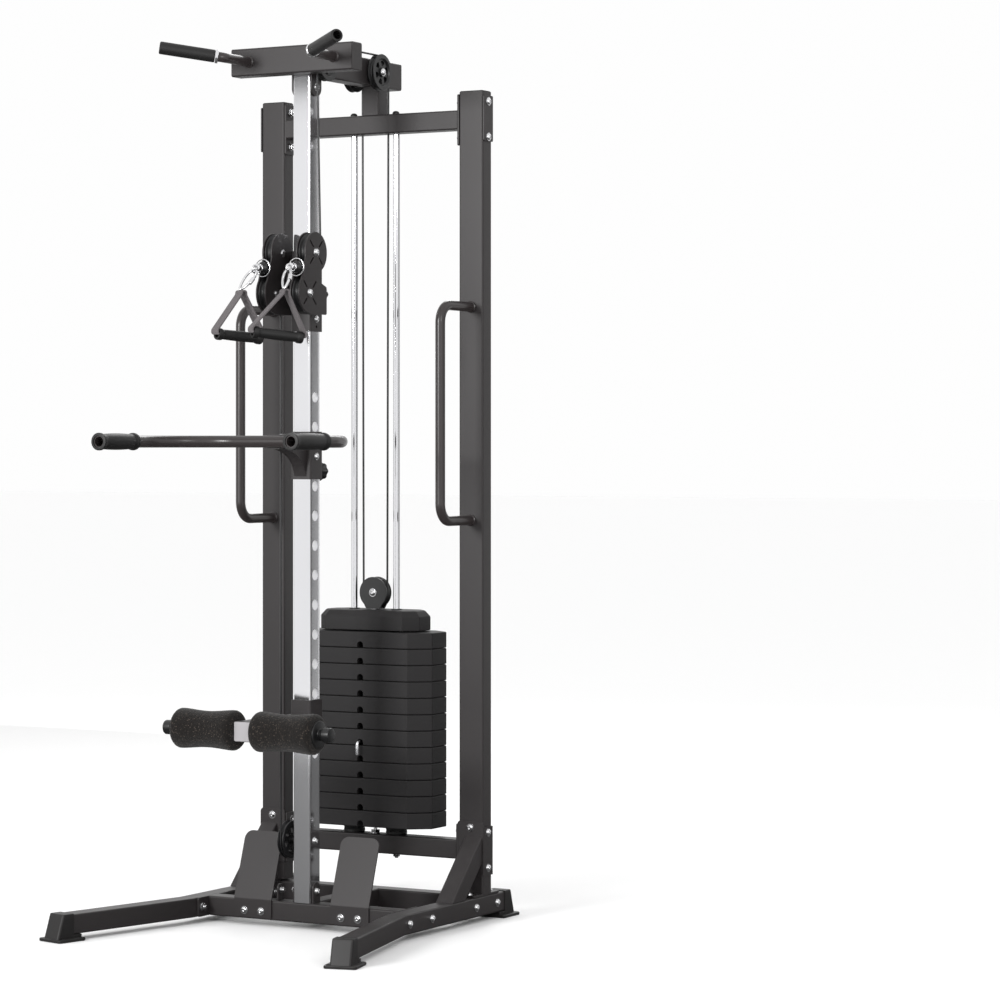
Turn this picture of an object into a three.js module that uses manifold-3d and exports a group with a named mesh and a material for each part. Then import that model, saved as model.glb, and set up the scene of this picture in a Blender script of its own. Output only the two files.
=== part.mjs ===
// A single-stack cable tower with a pull-up bar, a sliding pulley carriage, a dip bar and a leg hold.
// Millimetres, +Z up. The user stands in front, at -Y, so +X is the user's right. The origin is on the
// floor under the middle of the bounding box.
import * as THREE from "three";
import { mergeVertices } from "three/addons/utils/BufferGeometryUtils.js";
import Module from "manifold-3d";

const wasm = await Module();
wasm.setup();

// ---------------------------------------------------------------- driving dimensions
const GAP = 0.3; // air left between two parts that only touch
const HOLE_PITCH = 75;
const TUBE = 50; // square tube of the base, the post and the beams
const EDGE = 2.5; // chamfer that stands for a tube's rounded corner

const RAIL = { x: 311, bottom: 16, top: 66, bendY: -56, splay: THREE.MathUtils.degToRad(13.6) };
const FRONT_REACH = 511; // how far the front feet reach
const FLANGE = { width: 82, length: 86, height: 8 };
const CROSS = { frontY: 24, rearY: 361 };
const LUG = { x: -76.5, boltZ: 92 };
const UPRIGHT = { x: 301, y: 361, width: 70, depth: 48, top: 2131.5 };
const BOLT_SPREAD = 45.5; // end plate bolts above and below a beam's middle
const LOWER_BEAM_Z = 182.4;
const TOP_BEAM_Z = 2060.5;
const POST = { y: 24, half: 25, wall: 2.5, bottom: 66.3, top: 2157.7, sideHole: 13.5, rearHole: 6 };
const FIRST_HOLE_Z = 1344.4;
const SIDE_HOLES = 13;
const REAR_HOLES_ABOVE = 8;
const HEAD = { bottom: 2158, top: 2228, rearY: 456, frontY: -1 };
const PULLUP = {
  halfWidth: 178, depth: 50, neckX: 126.5, neckY: -163.6, tip: [260.5, -253, 2217], bend: 20, grip: 140, ring: 9,
};

const CABLE_R = 2.7;
const PULLEY = { radius: 47.5, cable: 43.5, width: 18, bore: 6 };
const FLOAT = { radius: 40, cable: 36, width: 18, z: 837 };
const TOP_PULLEY = { x: 39.5, z: 2193, rearY: 320.5, leftFrontY: 111, rightFrontY: 53.6 };
const LOW_PULLEY = { x: -50, y: 24, z: 222 };
const LANE = 50; // distance of the carriage pulleys from the middle
const CARRIAGE = { bottom: 1510, top: 1714, upper: [-33.4, 1706.8], lower: [-63, 1604.4], lobe: 51 };
const SLEEVE = { wall: 4, clearance: 0.5 };

const STACK = { y: 364, halfX: 193, halfY: 78.5, chamferX: 52, chamferY: 41, pitch: 42.3, plates: 12 };
const LIFTED = 7; // plates above the pin
const STACK_BOTTOM = 230.4;
const ROD = { x: 64, radius: 9 };
const BUMPER = { radius: 28, height: 22 };

const DIP = { z: 1194.4, barZ: 1232, barY: -138, bend: 170, halfWidth: 277, tipY: -491, tube: 15 };
const LEG = {
  z: 519.4, axisY: -250, armEndY: -275, foamRadius: 50, foamIn: 27, foamOut: 205, neckOut: 220, knobOut: 243,
};

// ---------------------------------------------------------------- finishes
const finish = (color, roughness, metalness) =>
  new THREE.MeshStandardMaterial({ color, roughness, metalness });
const POWDER = finish(0x3a3637, 0.6, 0.3);
const CHROME = finish(0xd9dadc, 0.12, 1.0);
const STEEL = finish(0xb9babd, 0.25, 1.0);
const PLASTIC = finish(0x161617, 0.45, 0.0);
const RUBBER = finish(0x1b1b1c, 0.8, 0.0);
const CASTING = finish(0x413c3d, 0.65, 0.1);
const FOAM = finish(0x231f1e, 0.95, 0.0);
const WEBBING = finish(0x4c494b, 0.9, 0.0);
const SHEATH = finish(0x141415, 0.5, 0.0);

// ---------------------------------------------------------------- solids
/** Turns a closed three.js geometry into a manifold solid. */
function solid(geometry) {
  const bare = geometry.index ? geometry.toNonIndexed() : geometry.clone();
  for (const name of Object.keys(bare.attributes)) if (name !== "position") bare.deleteAttribute(name);
  const merged = mergeVertices(bare, 1e-3);
  const mesh = new wasm.Mesh({
    numProp: 3,
    vertProperties: merged.attributes.position.array,
    triVerts: new Uint32Array(merged.index.array),
  });
  return new wasm.Manifold(mesh);
}

/** Turns a manifold solid back into a flat-shaded geometry. */
function geometryOf(body) {
  const mesh = body.getMesh();
  const geometry = new THREE.BufferGeometry();
  geometry.setAttribute("position", new THREE.BufferAttribute(mesh.vertProperties, 3));
  geometry.setIndex(new THREE.BufferAttribute(mesh.triVerts, 1));
  const flat = geometry.toNonIndexed();
  flat.computeVertexNormals();
  return flat;
}

const join = (...bodies) => bodies.reduce((sum, body) => sum.add(body));
const cut = (body, ...tools) => tools.reduce((rest, tool) => rest.subtract(tool), body);
const mirrored = (geometry) => {
  const copy = geometry.index ? geometry.toNonIndexed() : geometry.clone();
  const place = copy.attributes.position;
  for (let i = 0; i < place.count; i += 3) {
    const [a, b, c] = [0, 1, 2].map((k) => new THREE.Vector3().fromBufferAttribute(place, i + k));
    [a, c, b].forEach((corner, k) => place.setXYZ(i + k, -corner.x, corner.y, corner.z));
  }
  return copy;
};
/** The same body on the other side of the machine. */
const mirrorX = (body) => solid(mirrored(geometryOf(body)));

function box([x0, x1], [y0, y1], [z0, z1]) {
  const geometry = new THREE.BoxGeometry(x1 - x0, y1 - y0, z1 - z0);
  return solid(geometry.translate((x0 + x1) / 2, (y0 + y1) / 2, (z0 + z1) / 2));
}

/** Rotation that takes +Z, the direction of an extrusion or a lathe, to the named axis. */
function towards(axis) {
  const turn = new THREE.Matrix4();
  if (axis === "x") turn.makeRotationY(Math.PI / 2);
  if (axis === "y") turn.makeRotationX(-Math.PI / 2);
  return turn;
}

function rod(radius, axis, from, to, [u, v], sides = 12) {
  const geometry = new THREE.CylinderGeometry(radius, radius, to - from, sides).rotateX(Math.PI / 2);
  geometry.applyMatrix4(towards(axis));
  const middle = (from + to) / 2;
  const place = { x: [middle, u, v], y: [u, middle, v], z: [u, v, middle] }[axis];
  return solid(geometry.translate(...place));
}

/** A turned body: profile of [radius, height] pairs about +Z, then laid along an axis. */
function turned(profile, axis, place, sides) {
  const points = profile.map(([r, h]) => new THREE.Vector2(r, h));
  const geometry = new THREE.LatheGeometry(points, sides).rotateX(Math.PI / 2);
  return solid(geometry.applyMatrix4(towards(axis)).translate(...place));
}

const outline = (points) => new THREE.Shape(points.map(([u, v]) => new THREE.Vector2(u, v)));

/** A flat outline in the Y-Z plane, given thickness along X. */
function plateYZ(shape, [x0, x1], curveSegments = 6) {
  const geometry = new THREE.ExtrudeGeometry(shape, { depth: x1 - x0, bevelEnabled: false, curveSegments });
  const columns = new THREE.Matrix4().makeBasis(
    new THREE.Vector3(0, 1, 0),
    new THREE.Vector3(0, 0, 1),
    new THREE.Vector3(1, 0, 0),
  );
  return solid(geometry.applyMatrix4(columns).translate(x0, 0, 0));
}

/** A flat outline in the X-Y plane, given thickness along Z. */
function plateXY(shape, [z0, z1], curveSegments = 6) {
  const geometry = new THREE.ExtrudeGeometry(shape, { depth: z1 - z0, bevelEnabled: false, curveSegments });
  return solid(geometry.translate(0, 0, z0));
}

/** A flat outline in the X-Z plane, given thickness along Y. */
function plateXZ(shape, [y0, y1], curveSegments = 6) {
  const geometry = new THREE.ExtrudeGeometry(shape, { depth: y1 - y0, bevelEnabled: false, curveSegments });
  return solid(geometry.rotateX(Math.PI / 2).translate(0, y1, 0));
}

/** A rectangle with chamfered corners, about the point [u, v]. */
function tubeOutline(width, height, [u, v], edge = EDGE) {
  const [a, b] = [width / 2, height / 2];
  return outline([
    [u - a + edge, v - b], [u + a - edge, v - b], [u + a, v - b + edge], [u + a, v + b - edge],
    [u + a - edge, v + b], [u - a + edge, v + b], [u - a, v + b - edge], [u - a, v - b + edge],
  ]);
}

/** A tab whose far end is round: straight from `v0`, with the round centred on `v1`. */
function tabOutline(u, half, v0, v1) {
  const shape = new THREE.Shape();
  shape.moveTo(u - half, v0).lineTo(u - half, v1);
  shape.absarc(u, v1, half, Math.PI, v1 > v0 ? 0 : 2 * Math.PI, v1 > v0);
  shape.lineTo(u + half, v0).closePath();
  return shape;
}

/** A path that passes through its knots in straight steps. */
class KnotPath extends THREE.Curve {
  constructor(knots) {
    super();
    this.knots = knots.map((knot) => new THREE.Vector3(...knot));
  }
  getPoint(t, target = new THREE.Vector3()) {
    const step = Math.min(Math.round(t * (this.knots.length - 1)), this.knots.length - 1);
    return target.copy(this.knots[step]);
  }
  getPointAt(t, target) {
    return this.getPoint(t, target);
  }
  getTangentAt(t, target = new THREE.Vector3()) {
    const last = this.knots.length - 1;
    const step = Math.round(t * last);
    const before = this.knots[Math.max(step - 1, 0)];
    const after = this.knots[Math.min(step + 1, last)];
    return target.subVectors(after, before).normalize();
  }
}

/** A round bar along knots. */
function bar(knots, radius, sides = 12) {
  const circle = new THREE.Shape().absarc(0, 0, radius, 0, 2 * Math.PI);
  const path = new KnotPath(knots);
  const options = { steps: knots.length - 1, extrudePath: path, curveSegments: sides / 2 };
  return solid(new THREE.ExtrudeGeometry(circle, options));
}

/** Knots of a route whose corners are rounded to a radius, each with `n` steps. */
function rounded(points, radius, n = 5) {
  const corners = points.map((p) => new THREE.Vector3(...p));
  const knots = [corners[0].toArray()];
  for (let i = 1; i < corners.length - 1; i++) {
    const back = corners[i - 1].clone().sub(corners[i]).normalize();
    const on = corners[i + 1].clone().sub(corners[i]).normalize();
    const half = back.angleTo(on) / 2;
    const inwards = back.clone().add(on).normalize();
    const middle = corners[i].clone().addScaledVector(inwards, radius / Math.sin(half));
    const start = corners[i].clone().addScaledVector(back, radius / Math.tan(half)).sub(middle);
    const end = corners[i].clone().addScaledVector(on, radius / Math.tan(half)).sub(middle);
    const sweep = start.angleTo(end);
    for (let k = 0; k <= n; k++) {
      const [a, b] = [Math.sin((1 - k / n) * sweep), Math.sin((k / n) * sweep)];
      const offset = start.clone().multiplyScalar(a / Math.sin(sweep));
      offset.addScaledVector(end, b / Math.sin(sweep));
      knots.push(offset.add(middle).toArray());
    }
  }
  knots.push(corners.at(-1).toArray());
  return knots;
}

/** Knots of an arc in the plane of Y and Z at x, about [y, z], angles from +Y towards +Z. */
function arcYZ(x, [y, z], radius, from, to, n) {
  return Array.from({ length: n + 1 }, (_, k) => {
    const angle = from + ((to - from) * k) / n;
    return [x, y + radius * Math.cos(angle), z + radius * Math.sin(angle)];
  });
}

// ---------------------------------------------------------------- scene graph
const group = new THREE.Group();
function add(name, body, material) {
  const mesh = new THREE.Mesh(geometryOf(body), material);
  mesh.name = name;
  group.add(mesh);
  return mesh;
}
/** Adds a body on the user's right and its mirror image on the left. */
function addPair(name, body, material) {
  add(`${name}_right`, body, material);
  add(`${name}_left`, mirrorX(body), material);
}

// ---------------------------------------------------------------- base
const splayed = [Math.sin(RAIL.splay), -Math.cos(RAIL.splay)]; // direction of a rail's front part
const across = [-splayed[1], splayed[0]];
const flangeReach = (FLANGE.width / 2) * Math.sin(RAIL.splay);
const footLength = (FRONT_REACH - flangeReach + RAIL.bendY) / Math.cos(RAIL.splay); // bend to flange front
// A moulded foot's lengths, measured back from the front of its flange.
const CAP = { body: 54, proud: 2, tubeEnd: 59, topFront: 24, bottomFront: 5 };

function railBody() {
  const half = TUBE / 2;
  const mitre = half * Math.tan(RAIL.splay / 2);
  const end = footLength - CAP.tubeEnd;
  const corner = (side) => [RAIL.x + side * half, RAIL.bendY + side * mitre];
  const tip = (side) => [
    RAIL.x + splayed[0] * end + side * half * across[0],
    RAIL.bendY + splayed[1] * end + side * half * across[1],
  ];
  const rearEnd = FRONT_REACH - CAP.tubeEnd;
  const shape = outline([
    [RAIL.x - half, rearEnd], corner(-1), tip(-1), tip(1), corner(1), [RAIL.x + half, rearEnd],
  ]);
  const options = {
    depth: TUBE - 2 * EDGE, bevelEnabled: true, bevelSegments: 1,
    bevelSize: EDGE, bevelThickness: EDGE, bevelOffset: -EDGE,
  };
  return solid(new THREE.ExtrudeGeometry(shape, options).translate(0, 0, RAIL.bottom + EDGE));
}

/** A moulded foot: its length runs along +Y to the flange's end at y = 0. */
function footBody() {
  const top = RAIL.top + CAP.proud;
  const body = outline([
    [-FLANGE.length + 2, FLANGE.height - 1], [-CAP.bottomFront, FLANGE.height - 1], [-CAP.topFront, top],
    [-CAP.tubeEnd + GAP, top], [-CAP.tubeEnd + GAP, RAIL.bottom - GAP],
    [-FLANGE.length + 2, RAIL.bottom - GAP],
  ]);
  const flange = tubeOutline(FLANGE.width, FLANGE.length, [0, -FLANGE.length / 2], 4);
  return join(plateYZ(body, [-CAP.body / 2, CAP.body / 2]), plateXY(flange, [0, FLANGE.height]));
}

function placed(body, x, y, turn) {
  const geometry = geometryOf(body).rotateZ(turn).translate(x, y, 0);
  return solid(geometry);
}

addPair("base_rail", railBody(), POWDER);
const tipX = RAIL.x + splayed[0] * footLength;
const tipY = RAIL.bendY + splayed[1] * footLength;
addPair("foot_front", placed(footBody(), tipX, tipY, Math.PI + RAIL.splay), PLASTIC);
addPair("foot_rear", placed(footBody(), RAIL.x, FRONT_REACH, 0), PLASTIC);

function baseFrame() {
  const inner = RAIL.x - TUBE / 2 - GAP;
  const plate = 5;
  const crossBeam = (y) => join(
    plateYZ(tubeOutline(TUBE, TUBE, [y, RAIL.bottom + TUBE / 2]), [-inner + plate, inner - plate]),
    box([inner - plate, inner], [y - 72, y + 72], [RAIL.bottom, RAIL.top]),
    box([-inner, -inner + plate], [y - 72, y + 72], [RAIL.bottom, RAIL.top]),
  );
  const centre = plateXZ(tubeOutline(TUBE, TUBE, [0, RAIL.bottom + TUBE / 2]), [CROSS.frontY, CROSS.rearY]);
  // Two upright tabs hold the foot of the post, each with a bolt.
  const tabs = [1, -1].map((side) => {
    const face = side * (POST.half + GAP);
    const span = [Math.min(face, face + 5 * side), Math.max(face, face + 5 * side)];
    const head = [Math.min(face + 4 * side, face + 11 * side), Math.max(face + 4 * side, face + 11 * side)];
    return join(
      plateYZ(tabOutline(POST.y, 17, RAIL.top - 3, 102), span),
      rod(9, "x", head[0], head[1], [POST.y, 95]),
    );
  });
  // A smaller tab with a bolt of its own stands beside them.
  const lug = join(
    plateYZ(tabOutline(POST.y, 14, RAIL.top - 3, 96), [LUG.x - 5, LUG.x]),
    rod(7, "x", LUG.x - 10, LUG.x - 4, [POST.y, LUG.boltZ]),
  );
  return join(crossBeam(CROSS.frontY), crossBeam(CROSS.rearY), centre, ...tabs, lug);
}
add("base_frame", baseFrame(), POWDER);

function footPlate(x) {
  const face = POST.y - TUBE / 2 - GAP;
  const lean = THREE.MathUtils.degToRad(18.7);
  const thick = 4;
  const rise = 176;
  const kink = RAIL.top + 4;
  const outerTop = [face - thick + rise * Math.sin(lean), kink + rise * Math.cos(lean)];
  const side = outline([
    [face - thick, 20], [face, 20], [face, kink - 1],
    [outerTop[0] + thick * Math.cos(lean), outerTop[1] - thick * Math.sin(lean)],
    outerTop, [face - thick, kink],
  ]);
  const half = 56;
  const round = 22;
  const front = new THREE.Shape();
  front.moveTo(x - half, 10).lineTo(x + half, 10).lineTo(x + half, outerTop[1] - round);
  front.absarc(x + half - round, outerTop[1] - round, round, 0, Math.PI / 2, false);
  front.absarc(x - half + round, outerTop[1] - round, round, Math.PI / 2, Math.PI, false);
  front.closePath();
  const sheet = plateYZ(side, [x - half, x + half]).intersect(plateXZ(front, [-40, 120], 5));
  const heads = [-25, 25].map((off) => rod(8.5, "y", face - thick - 6, face - thick + 1, [x + off, 37.6]));
  return join(sheet, ...heads);
}
addPair("foot_plate", footPlate(144), POWDER);

// ---------------------------------------------------------------- uprights
const UP = {
  in: UPRIGHT.x - UPRIGHT.width / 2, out: UPRIGHT.x + UPRIGHT.width / 2,
  front: UPRIGHT.y - UPRIGHT.depth / 2, rear: UPRIGHT.y + UPRIGHT.depth / 2,
};
function uprightBody() {
  const shaft = plateXY(tubeOutline(UPRIGHT.width, UPRIGHT.depth, [UPRIGHT.x, UPRIGHT.y]), [71, UPRIGHT.top]);
  const shoe = box([RAIL.x - TUBE / 2, UP.out], [UPRIGHT.y - 66, UPRIGHT.y + 66], [RAIL.top, 72]);
  const bolts = [-52, 52].map((off) => rod(7, "z", 71, 82, [RAIL.x, UPRIGHT.y + off], 6));
  const plate = box([UP.out - 0.5, UP.out + 4], [UP.front, UP.rear], [TOP_BEAM_Z - 57, TOP_BEAM_Z + 61]);
  const heads = [-BOLT_SPREAD, BOLT_SPREAD].map((off) =>
    rod(9, "x", UP.out + 3, UP.out + 10, [UPRIGHT.y, TOP_BEAM_Z + off]));
  return join(shaft, shoe, plate, ...bolts, ...heads);
}
addPair("upright", uprightBody(), POWDER);

function braceBody() {
  const sheet = 3;
  const wrap = [UP.in - GAP - sheet, UP.out + GAP + sheet];
  const front = UP.front - GAP;
  const [z0, z1] = [118, 243];
  const wings = [
    box([wrap[0], wrap[0] + sheet], [front - sheet, UP.rear], [z0, z1]),
    box([wrap[1] - sheet, wrap[1]], [front - sheet, UP.rear], [z0, z1]),
    plateXZ(tubeOutline(wrap[1] - wrap[0], 258 - z0, [UPRIGHT.x, (258 + z0) / 2], 1), [front - sheet, front]),
  ];
  // The tube runs down and forward at 45 degrees and lands on the rail.
  const top = 221;
  const landing = front - sheet - (top - RAIL.top) + GAP;
  const across45 = TUBE * Math.SQRT2;
  const side = outline([
    [front - 1, top + sheet], [landing, RAIL.top + GAP], [landing + across45, RAIL.top + GAP],
    [front - 1, top + sheet - across45],
  ]);
  const heads = [-BOLT_SPREAD, BOLT_SPREAD].map((off) =>
    rod(9, "x", wrap[1] - 1, wrap[1] + 6, [UPRIGHT.y, LOWER_BEAM_Z + off]));
  const frontHead = rod(9, "y", front - sheet - 6, front - sheet + 1, [UPRIGHT.x, 240]);
  return join(...wings, plateYZ(side, [273, 323]), ...heads, frontHead);
}
addPair("brace", braceBody(), POWDER);

function grabHandle() {
  const reach = UP.front - 158;
  const [low, high] = [1030, 1578];
  const start = UP.front - GAP;
  const route = rounded([
    [UPRIGHT.x, start, high], [UPRIGHT.x, reach, high], [UPRIGHT.x, reach, low], [UPRIGHT.x, start, low],
  ], 45, 5);
  const washers = [low, high].map((z) => rod(15, "y", start - 5, start, [UPRIGHT.x, z], 14));
  return join(bar(route, 12.5, 10), ...washers);
}
addPair("grab_handle", grabHandle(), POWDER);

function endPlates(innerFace, y, z) {
  const plate = (side) => {
    const span = side > 0 ? [innerFace - 5, innerFace] : [-innerFace, -innerFace + 5];
    return box(span, [y - 24, y + 24], [z - 66, z + 66]);
  };
  return join(plate(1), plate(-1));
}

function lowerBeam() {
  const face = UP.in - 2 * GAP - 3;
  const beam = plateYZ(tubeOutline(TUBE, TUBE, [STACK.y - 3, LOWER_BEAM_Z]), [-face + 1, face - 1]);
  const top = LOWER_BEAM_Z + TUBE / 2;
  const bumpers = [-ROD.x, ROD.x].map((x) =>
    rod(BUMPER.radius, "z", top - 1, top + BUMPER.height, [x, STACK.y], 20));
  const seats = [-ROD.x, ROD.x].map((x) => rod(ROD.radius + GAP, "z", top - 20, top + 40, [x, STACK.y], 16));
  const nut = rod(13, "z", top - 1, top + 12, [0, STACK.y], 6);
  const lowNuts = [-ROD.x, ROD.x].map((x) => rod(9, "z", top - TUBE - 8, top - TUBE + 1, [x, STACK.y], 6));
  const body = join(beam, endPlates(face, UPRIGHT.y, LOWER_BEAM_Z), ...bumpers, nut, ...lowNuts);
  return cut(body, ...seats);
}
add("lower_beam", lowerBeam(), POWDER);

function headFrame() {
  const face = UP.in - GAP;
  const cross = plateYZ(tubeOutline(TUBE, TUBE, [UPRIGHT.y, TOP_BEAM_Z]), [-face + 1, face - 1]);
  const riser = plateXY(tubeOutline(TUBE, TUBE, [0, UPRIGHT.y]), [TOP_BEAM_Z + 20, HEAD.bottom + 5]);
  const middle = (HEAD.bottom + HEAD.top) / 2;
  const beam = plateXZ(tubeOutline(TUBE, HEAD.top - HEAD.bottom, [0, middle]), [HEAD.frontY, HEAD.rearY]);
  const rodSeats = [-ROD.x, ROD.x].map((x) =>
    rod(ROD.radius + GAP, "z", TOP_BEAM_Z - 40, TOP_BEAM_Z - 10, [x, STACK.y], 16));
  const cableWays = [-TOP_PULLEY.x, TOP_PULLEY.x].map((x) =>
    rod(7, "z", TOP_BEAM_Z - 40, TOP_BEAM_Z + 40, [x, STACK.y], 8));
  // Two tabs reach down over the sides of the post.
  const tabs = [1, -1].map((side) => {
    const span = side > 0 ? [POST.half + GAP, POST.half + 4.8] : [-POST.half - 4.8, -POST.half - GAP];
    const weld = side > 0 ? [POST.half - 2, POST.half + 4.8] : [-POST.half - 4.8, -POST.half + 2];
    const head = side > 0 ? [POST.half + 4, POST.half + 11] : [-POST.half - 11, -POST.half - 4];
    return join(
      plateYZ(tabOutline(POST.y, 24, HEAD.bottom + 10, 2129), span),
      box(weld, [POST.y - 24, POST.y + 24], [HEAD.bottom + 0.5, HEAD.bottom + 12]),
      rod(9, "x", head[0], head[1], [POST.y, 2128]),
    );
  });
  const outer = TOP_PULLEY.x + PULLEY.width / 2;
  const axles = [
    rod(PULLEY.bore, "x", -outer - 7, outer + 7, [TOP_PULLEY.rearY, TOP_PULLEY.z]),
    rod(PULLEY.bore, "x", -outer - 7, 0, [TOP_PULLEY.leftFrontY, TOP_PULLEY.z]),
    rod(PULLEY.bore, "x", 0, outer + 7, [TOP_PULLEY.rightFrontY, TOP_PULLEY.z]),
  ];
  const nuts = [-ROD.x, ROD.x].map((x) =>
    rod(9, "z", TOP_BEAM_Z + TUBE / 2 - 1, TOP_BEAM_Z + TUBE / 2 + 8, [x, UPRIGHT.y], 6));
  return join(
    cut(cross, ...rodSeats, ...cableWays), endPlates(face, UPRIGHT.y, TOP_BEAM_Z), riser, beam,
    ...tabs, ...axles, ...nuts,
  );
}
add("head_frame", headFrame(), POWDER);

function pullupBar() {
  const y1 = HEAD.frontY - GAP;
  const middle = (HEAD.bottom + HEAD.top) / 2;
  const beam = plateYZ(
    tubeOutline(PULLUP.depth, HEAD.top - HEAD.bottom, [y1 - PULLUP.depth / 2, middle]),
    [-PULLUP.halfWidth, PULLUP.halfWidth],
  );
  const tip = new THREE.Vector3(...PULLUP.tip);
  const elbow = new THREE.Vector3(PULLUP.neckX, PULLUP.neckY, middle);
  const along = tip.clone().sub(elbow).normalize();
  const route = rounded([
    [PULLUP.neckX, y1 - PULLUP.depth + 3, middle], elbow.toArray(), tip.toArray(),
  ], PULLUP.bend, 4);
  const at = (distance) => tip.clone().addScaledVector(along, -distance).toArray();
  const grip = bar([at(0), at(PULLUP.grip)], 16, 12);
  const ring = bar([at(PULLUP.grip - 2), at(PULLUP.grip + PULLUP.ring)], 18, 12);
  const bore = bar([tip.clone().addScaledVector(along, 5).toArray(), at(35)], 10, 10);
  const handle = cut(join(bar(route, 12.5, 10), grip, ring), bore);
  return join(beam, handle, mirrorX(handle));
}
add("pullup_bar", pullupBar(), POWDER);

// ---------------------------------------------------------------- post
function postBody() {
  const shaft = plateXY(tubeOutline(TUBE, TUBE, [0, POST.y]), [POST.bottom, POST.top]);
  const inside = POST.half - POST.wall;
  const hollow = box([-inside, inside], [POST.y - inside, POST.y + inside], [0, HEAD.top]);
  const sideHoles = Array.from({ length: SIDE_HOLES }, (_, k) =>
    rod(POST.sideHole, "x", -30, 30, [POST.y, FIRST_HOLE_Z - HOLE_PITCH * k], 10));
  const rearZ = (k) => FIRST_HOLE_Z + HOLE_PITCH * (REAR_HOLES_ABOVE - 0.5 - k);
  const rearHoles = Array.from({ length: SIDE_HOLES + REAR_HOLES_ABOVE }, (_, k) =>
    rod(POST.rearHole, "y", POST.y, POST.y + 30, [0, rearZ(k)], 6));
  const spacer = rod(10, "x", LOW_PULLEY.x + PULLEY.width / 2 + 1, -20, [LOW_PULLEY.y, LOW_PULLEY.z]);
  const axle = rod(PULLEY.bore, "x", LOW_PULLEY.x - PULLEY.width / 2 - 8, 26, [LOW_PULLEY.y, LOW_PULLEY.z]);
  const head = rod(9, "x", 23, POST.half + 7, [LOW_PULLEY.y, LOW_PULLEY.z]);
  return join(cut(shaft, hollow, ...sideHoles, ...rearHoles), spacer, axle, head);
}
add("post", postBody(), CHROME);

// ---------------------------------------------------------------- pulleys
function pulleyBody({ radius, cable, width, bore = PULLEY.bore }, sides, windows) {
  const half = width / 2;
  const free = bore + GAP;
  const floor = cable - 1.9 * CABLE_R;
  const profile = [[free, -half], [radius, -half], [floor, 0], [radius, half], [free, half], [free, -half]];
  const wheel = turned(profile, "z", [0, 0, 0], sides);
  if (!windows) return wheel;
  const cuts = Array.from({ length: windows }, (_, k) => {
    const start = (2 * Math.PI * k) / windows;
    const span = THREE.MathUtils.degToRad(34);
    const slot = new THREE.Shape();
    slot.absarc(0, 0, radius * 0.7, start, start + span, false);
    slot.absarc(0, 0, radius * 0.5, start + span, start, true);
    slot.closePath();
    return plateXY(slot, [-width, width], 2);
  });
  return cut(wheel, ...cuts);
}
const topWheel = geometryOf(pulleyBody(PULLEY, 24, 6));
const plainWheel = geometryOf(pulleyBody(PULLEY, 20, 0));
function addPulley(name, wheel, axis, place) {
  const mesh = new THREE.Mesh(wheel.clone(), PLASTIC);
  mesh.name = name;
  mesh.applyMatrix4(towards(axis));
  mesh.position.set(...place);
  group.add(mesh);
}
addPulley("pulley_top_rear_left", topWheel, "x", [-TOP_PULLEY.x, TOP_PULLEY.rearY, TOP_PULLEY.z]);
addPulley("pulley_top_rear_right", topWheel, "x", [TOP_PULLEY.x, TOP_PULLEY.rearY, TOP_PULLEY.z]);
addPulley("pulley_top_front_left", topWheel, "x", [-TOP_PULLEY.x, TOP_PULLEY.leftFrontY, TOP_PULLEY.z]);
addPulley("pulley_top_front_right", topWheel, "x", [TOP_PULLEY.x, TOP_PULLEY.rightFrontY, TOP_PULLEY.z]);
addPulley("pulley_low", topWheel, "x", [LOW_PULLEY.x, LOW_PULLEY.y, LOW_PULLEY.z]);
for (const [side, x] of [["left", -LANE], ["right", LANE]]) {
  addPulley(`pulley_carriage_upper_${side}`, plainWheel, "x", [x, ...CARRIAGE.upper]);
  addPulley(`pulley_carriage_lower_${side}`, plainWheel, "x", [x, ...CARRIAGE.lower]);
}
addPulley("pulley_floating", geometryOf(pulleyBody(FLOAT, 20, 0)), "y", [0, STACK.y, FLOAT.z]);

// ---------------------------------------------------------------- weight stack
const stackTop = STACK_BOTTOM + STACK.pitch * STACK.plates;
const pinZ = stackTop - STACK.pitch * LIFTED + 10;
function octagon(halfX, halfY, chamferX, chamferY) {
  const [a, b, c, d] = [halfX, halfY, halfX - chamferX, halfY - chamferY];
  const corners = [[c, -b], [a, -d], [a, d], [c, b], [-c, b], [-a, d], [-a, -d], [-c, -b]];
  return outline(corners.map(([x, y]) => [x, STACK.y + y]));
}
/** Plates numbered from the top, joined in the middle, with a groove between neighbours. */
function plates(first, last) {
  const groove = 1.2;
  const shape = octagon(STACK.halfX, STACK.halfY, STACK.chamferX, STACK.chamferY);
  const core = octagon(STACK.halfX - 4, STACK.halfY - 4, STACK.chamferX, STACK.chamferY);
  const bodies = [];
  const notches = [];
  for (let k = first; k <= last; k++) {
    const bottom = stackTop - STACK.pitch * (k + 1);
    bodies.push(plateXY(shape, [bottom + groove / 2, bottom + STACK.pitch - groove / 2]));
    const arch = new THREE.Shape();
    arch.moveTo(-6.5, bottom - 1).lineTo(6.5, bottom - 1).lineTo(6.5, bottom + 10.5);
    arch.absarc(0, bottom + 10.5, 6.5, 0, Math.PI, false);
    arch.closePath();
    notches.push(plateXZ(arch, [STACK.y - STACK.halfY - 5, STACK.y], 3));
  }
  const top = stackTop - STACK.pitch * first - groove / 2;
  const bottom = stackTop - STACK.pitch * (last + 1) + groove / 2;
  const bores = [-ROD.x, 0, ROD.x].map((x) =>
    rod(ROD.radius + 2, "z", bottom - 5, top + 5, [x, STACK.y], 14));
  return cut(join(plateXY(core, [bottom, top]), ...bodies), ...bores, ...notches);
}
add("plates_lifted", plates(0, LIFTED - 1), CASTING);
add("plates_resting", plates(LIFTED, STACK.plates - 1), CASTING);

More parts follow.
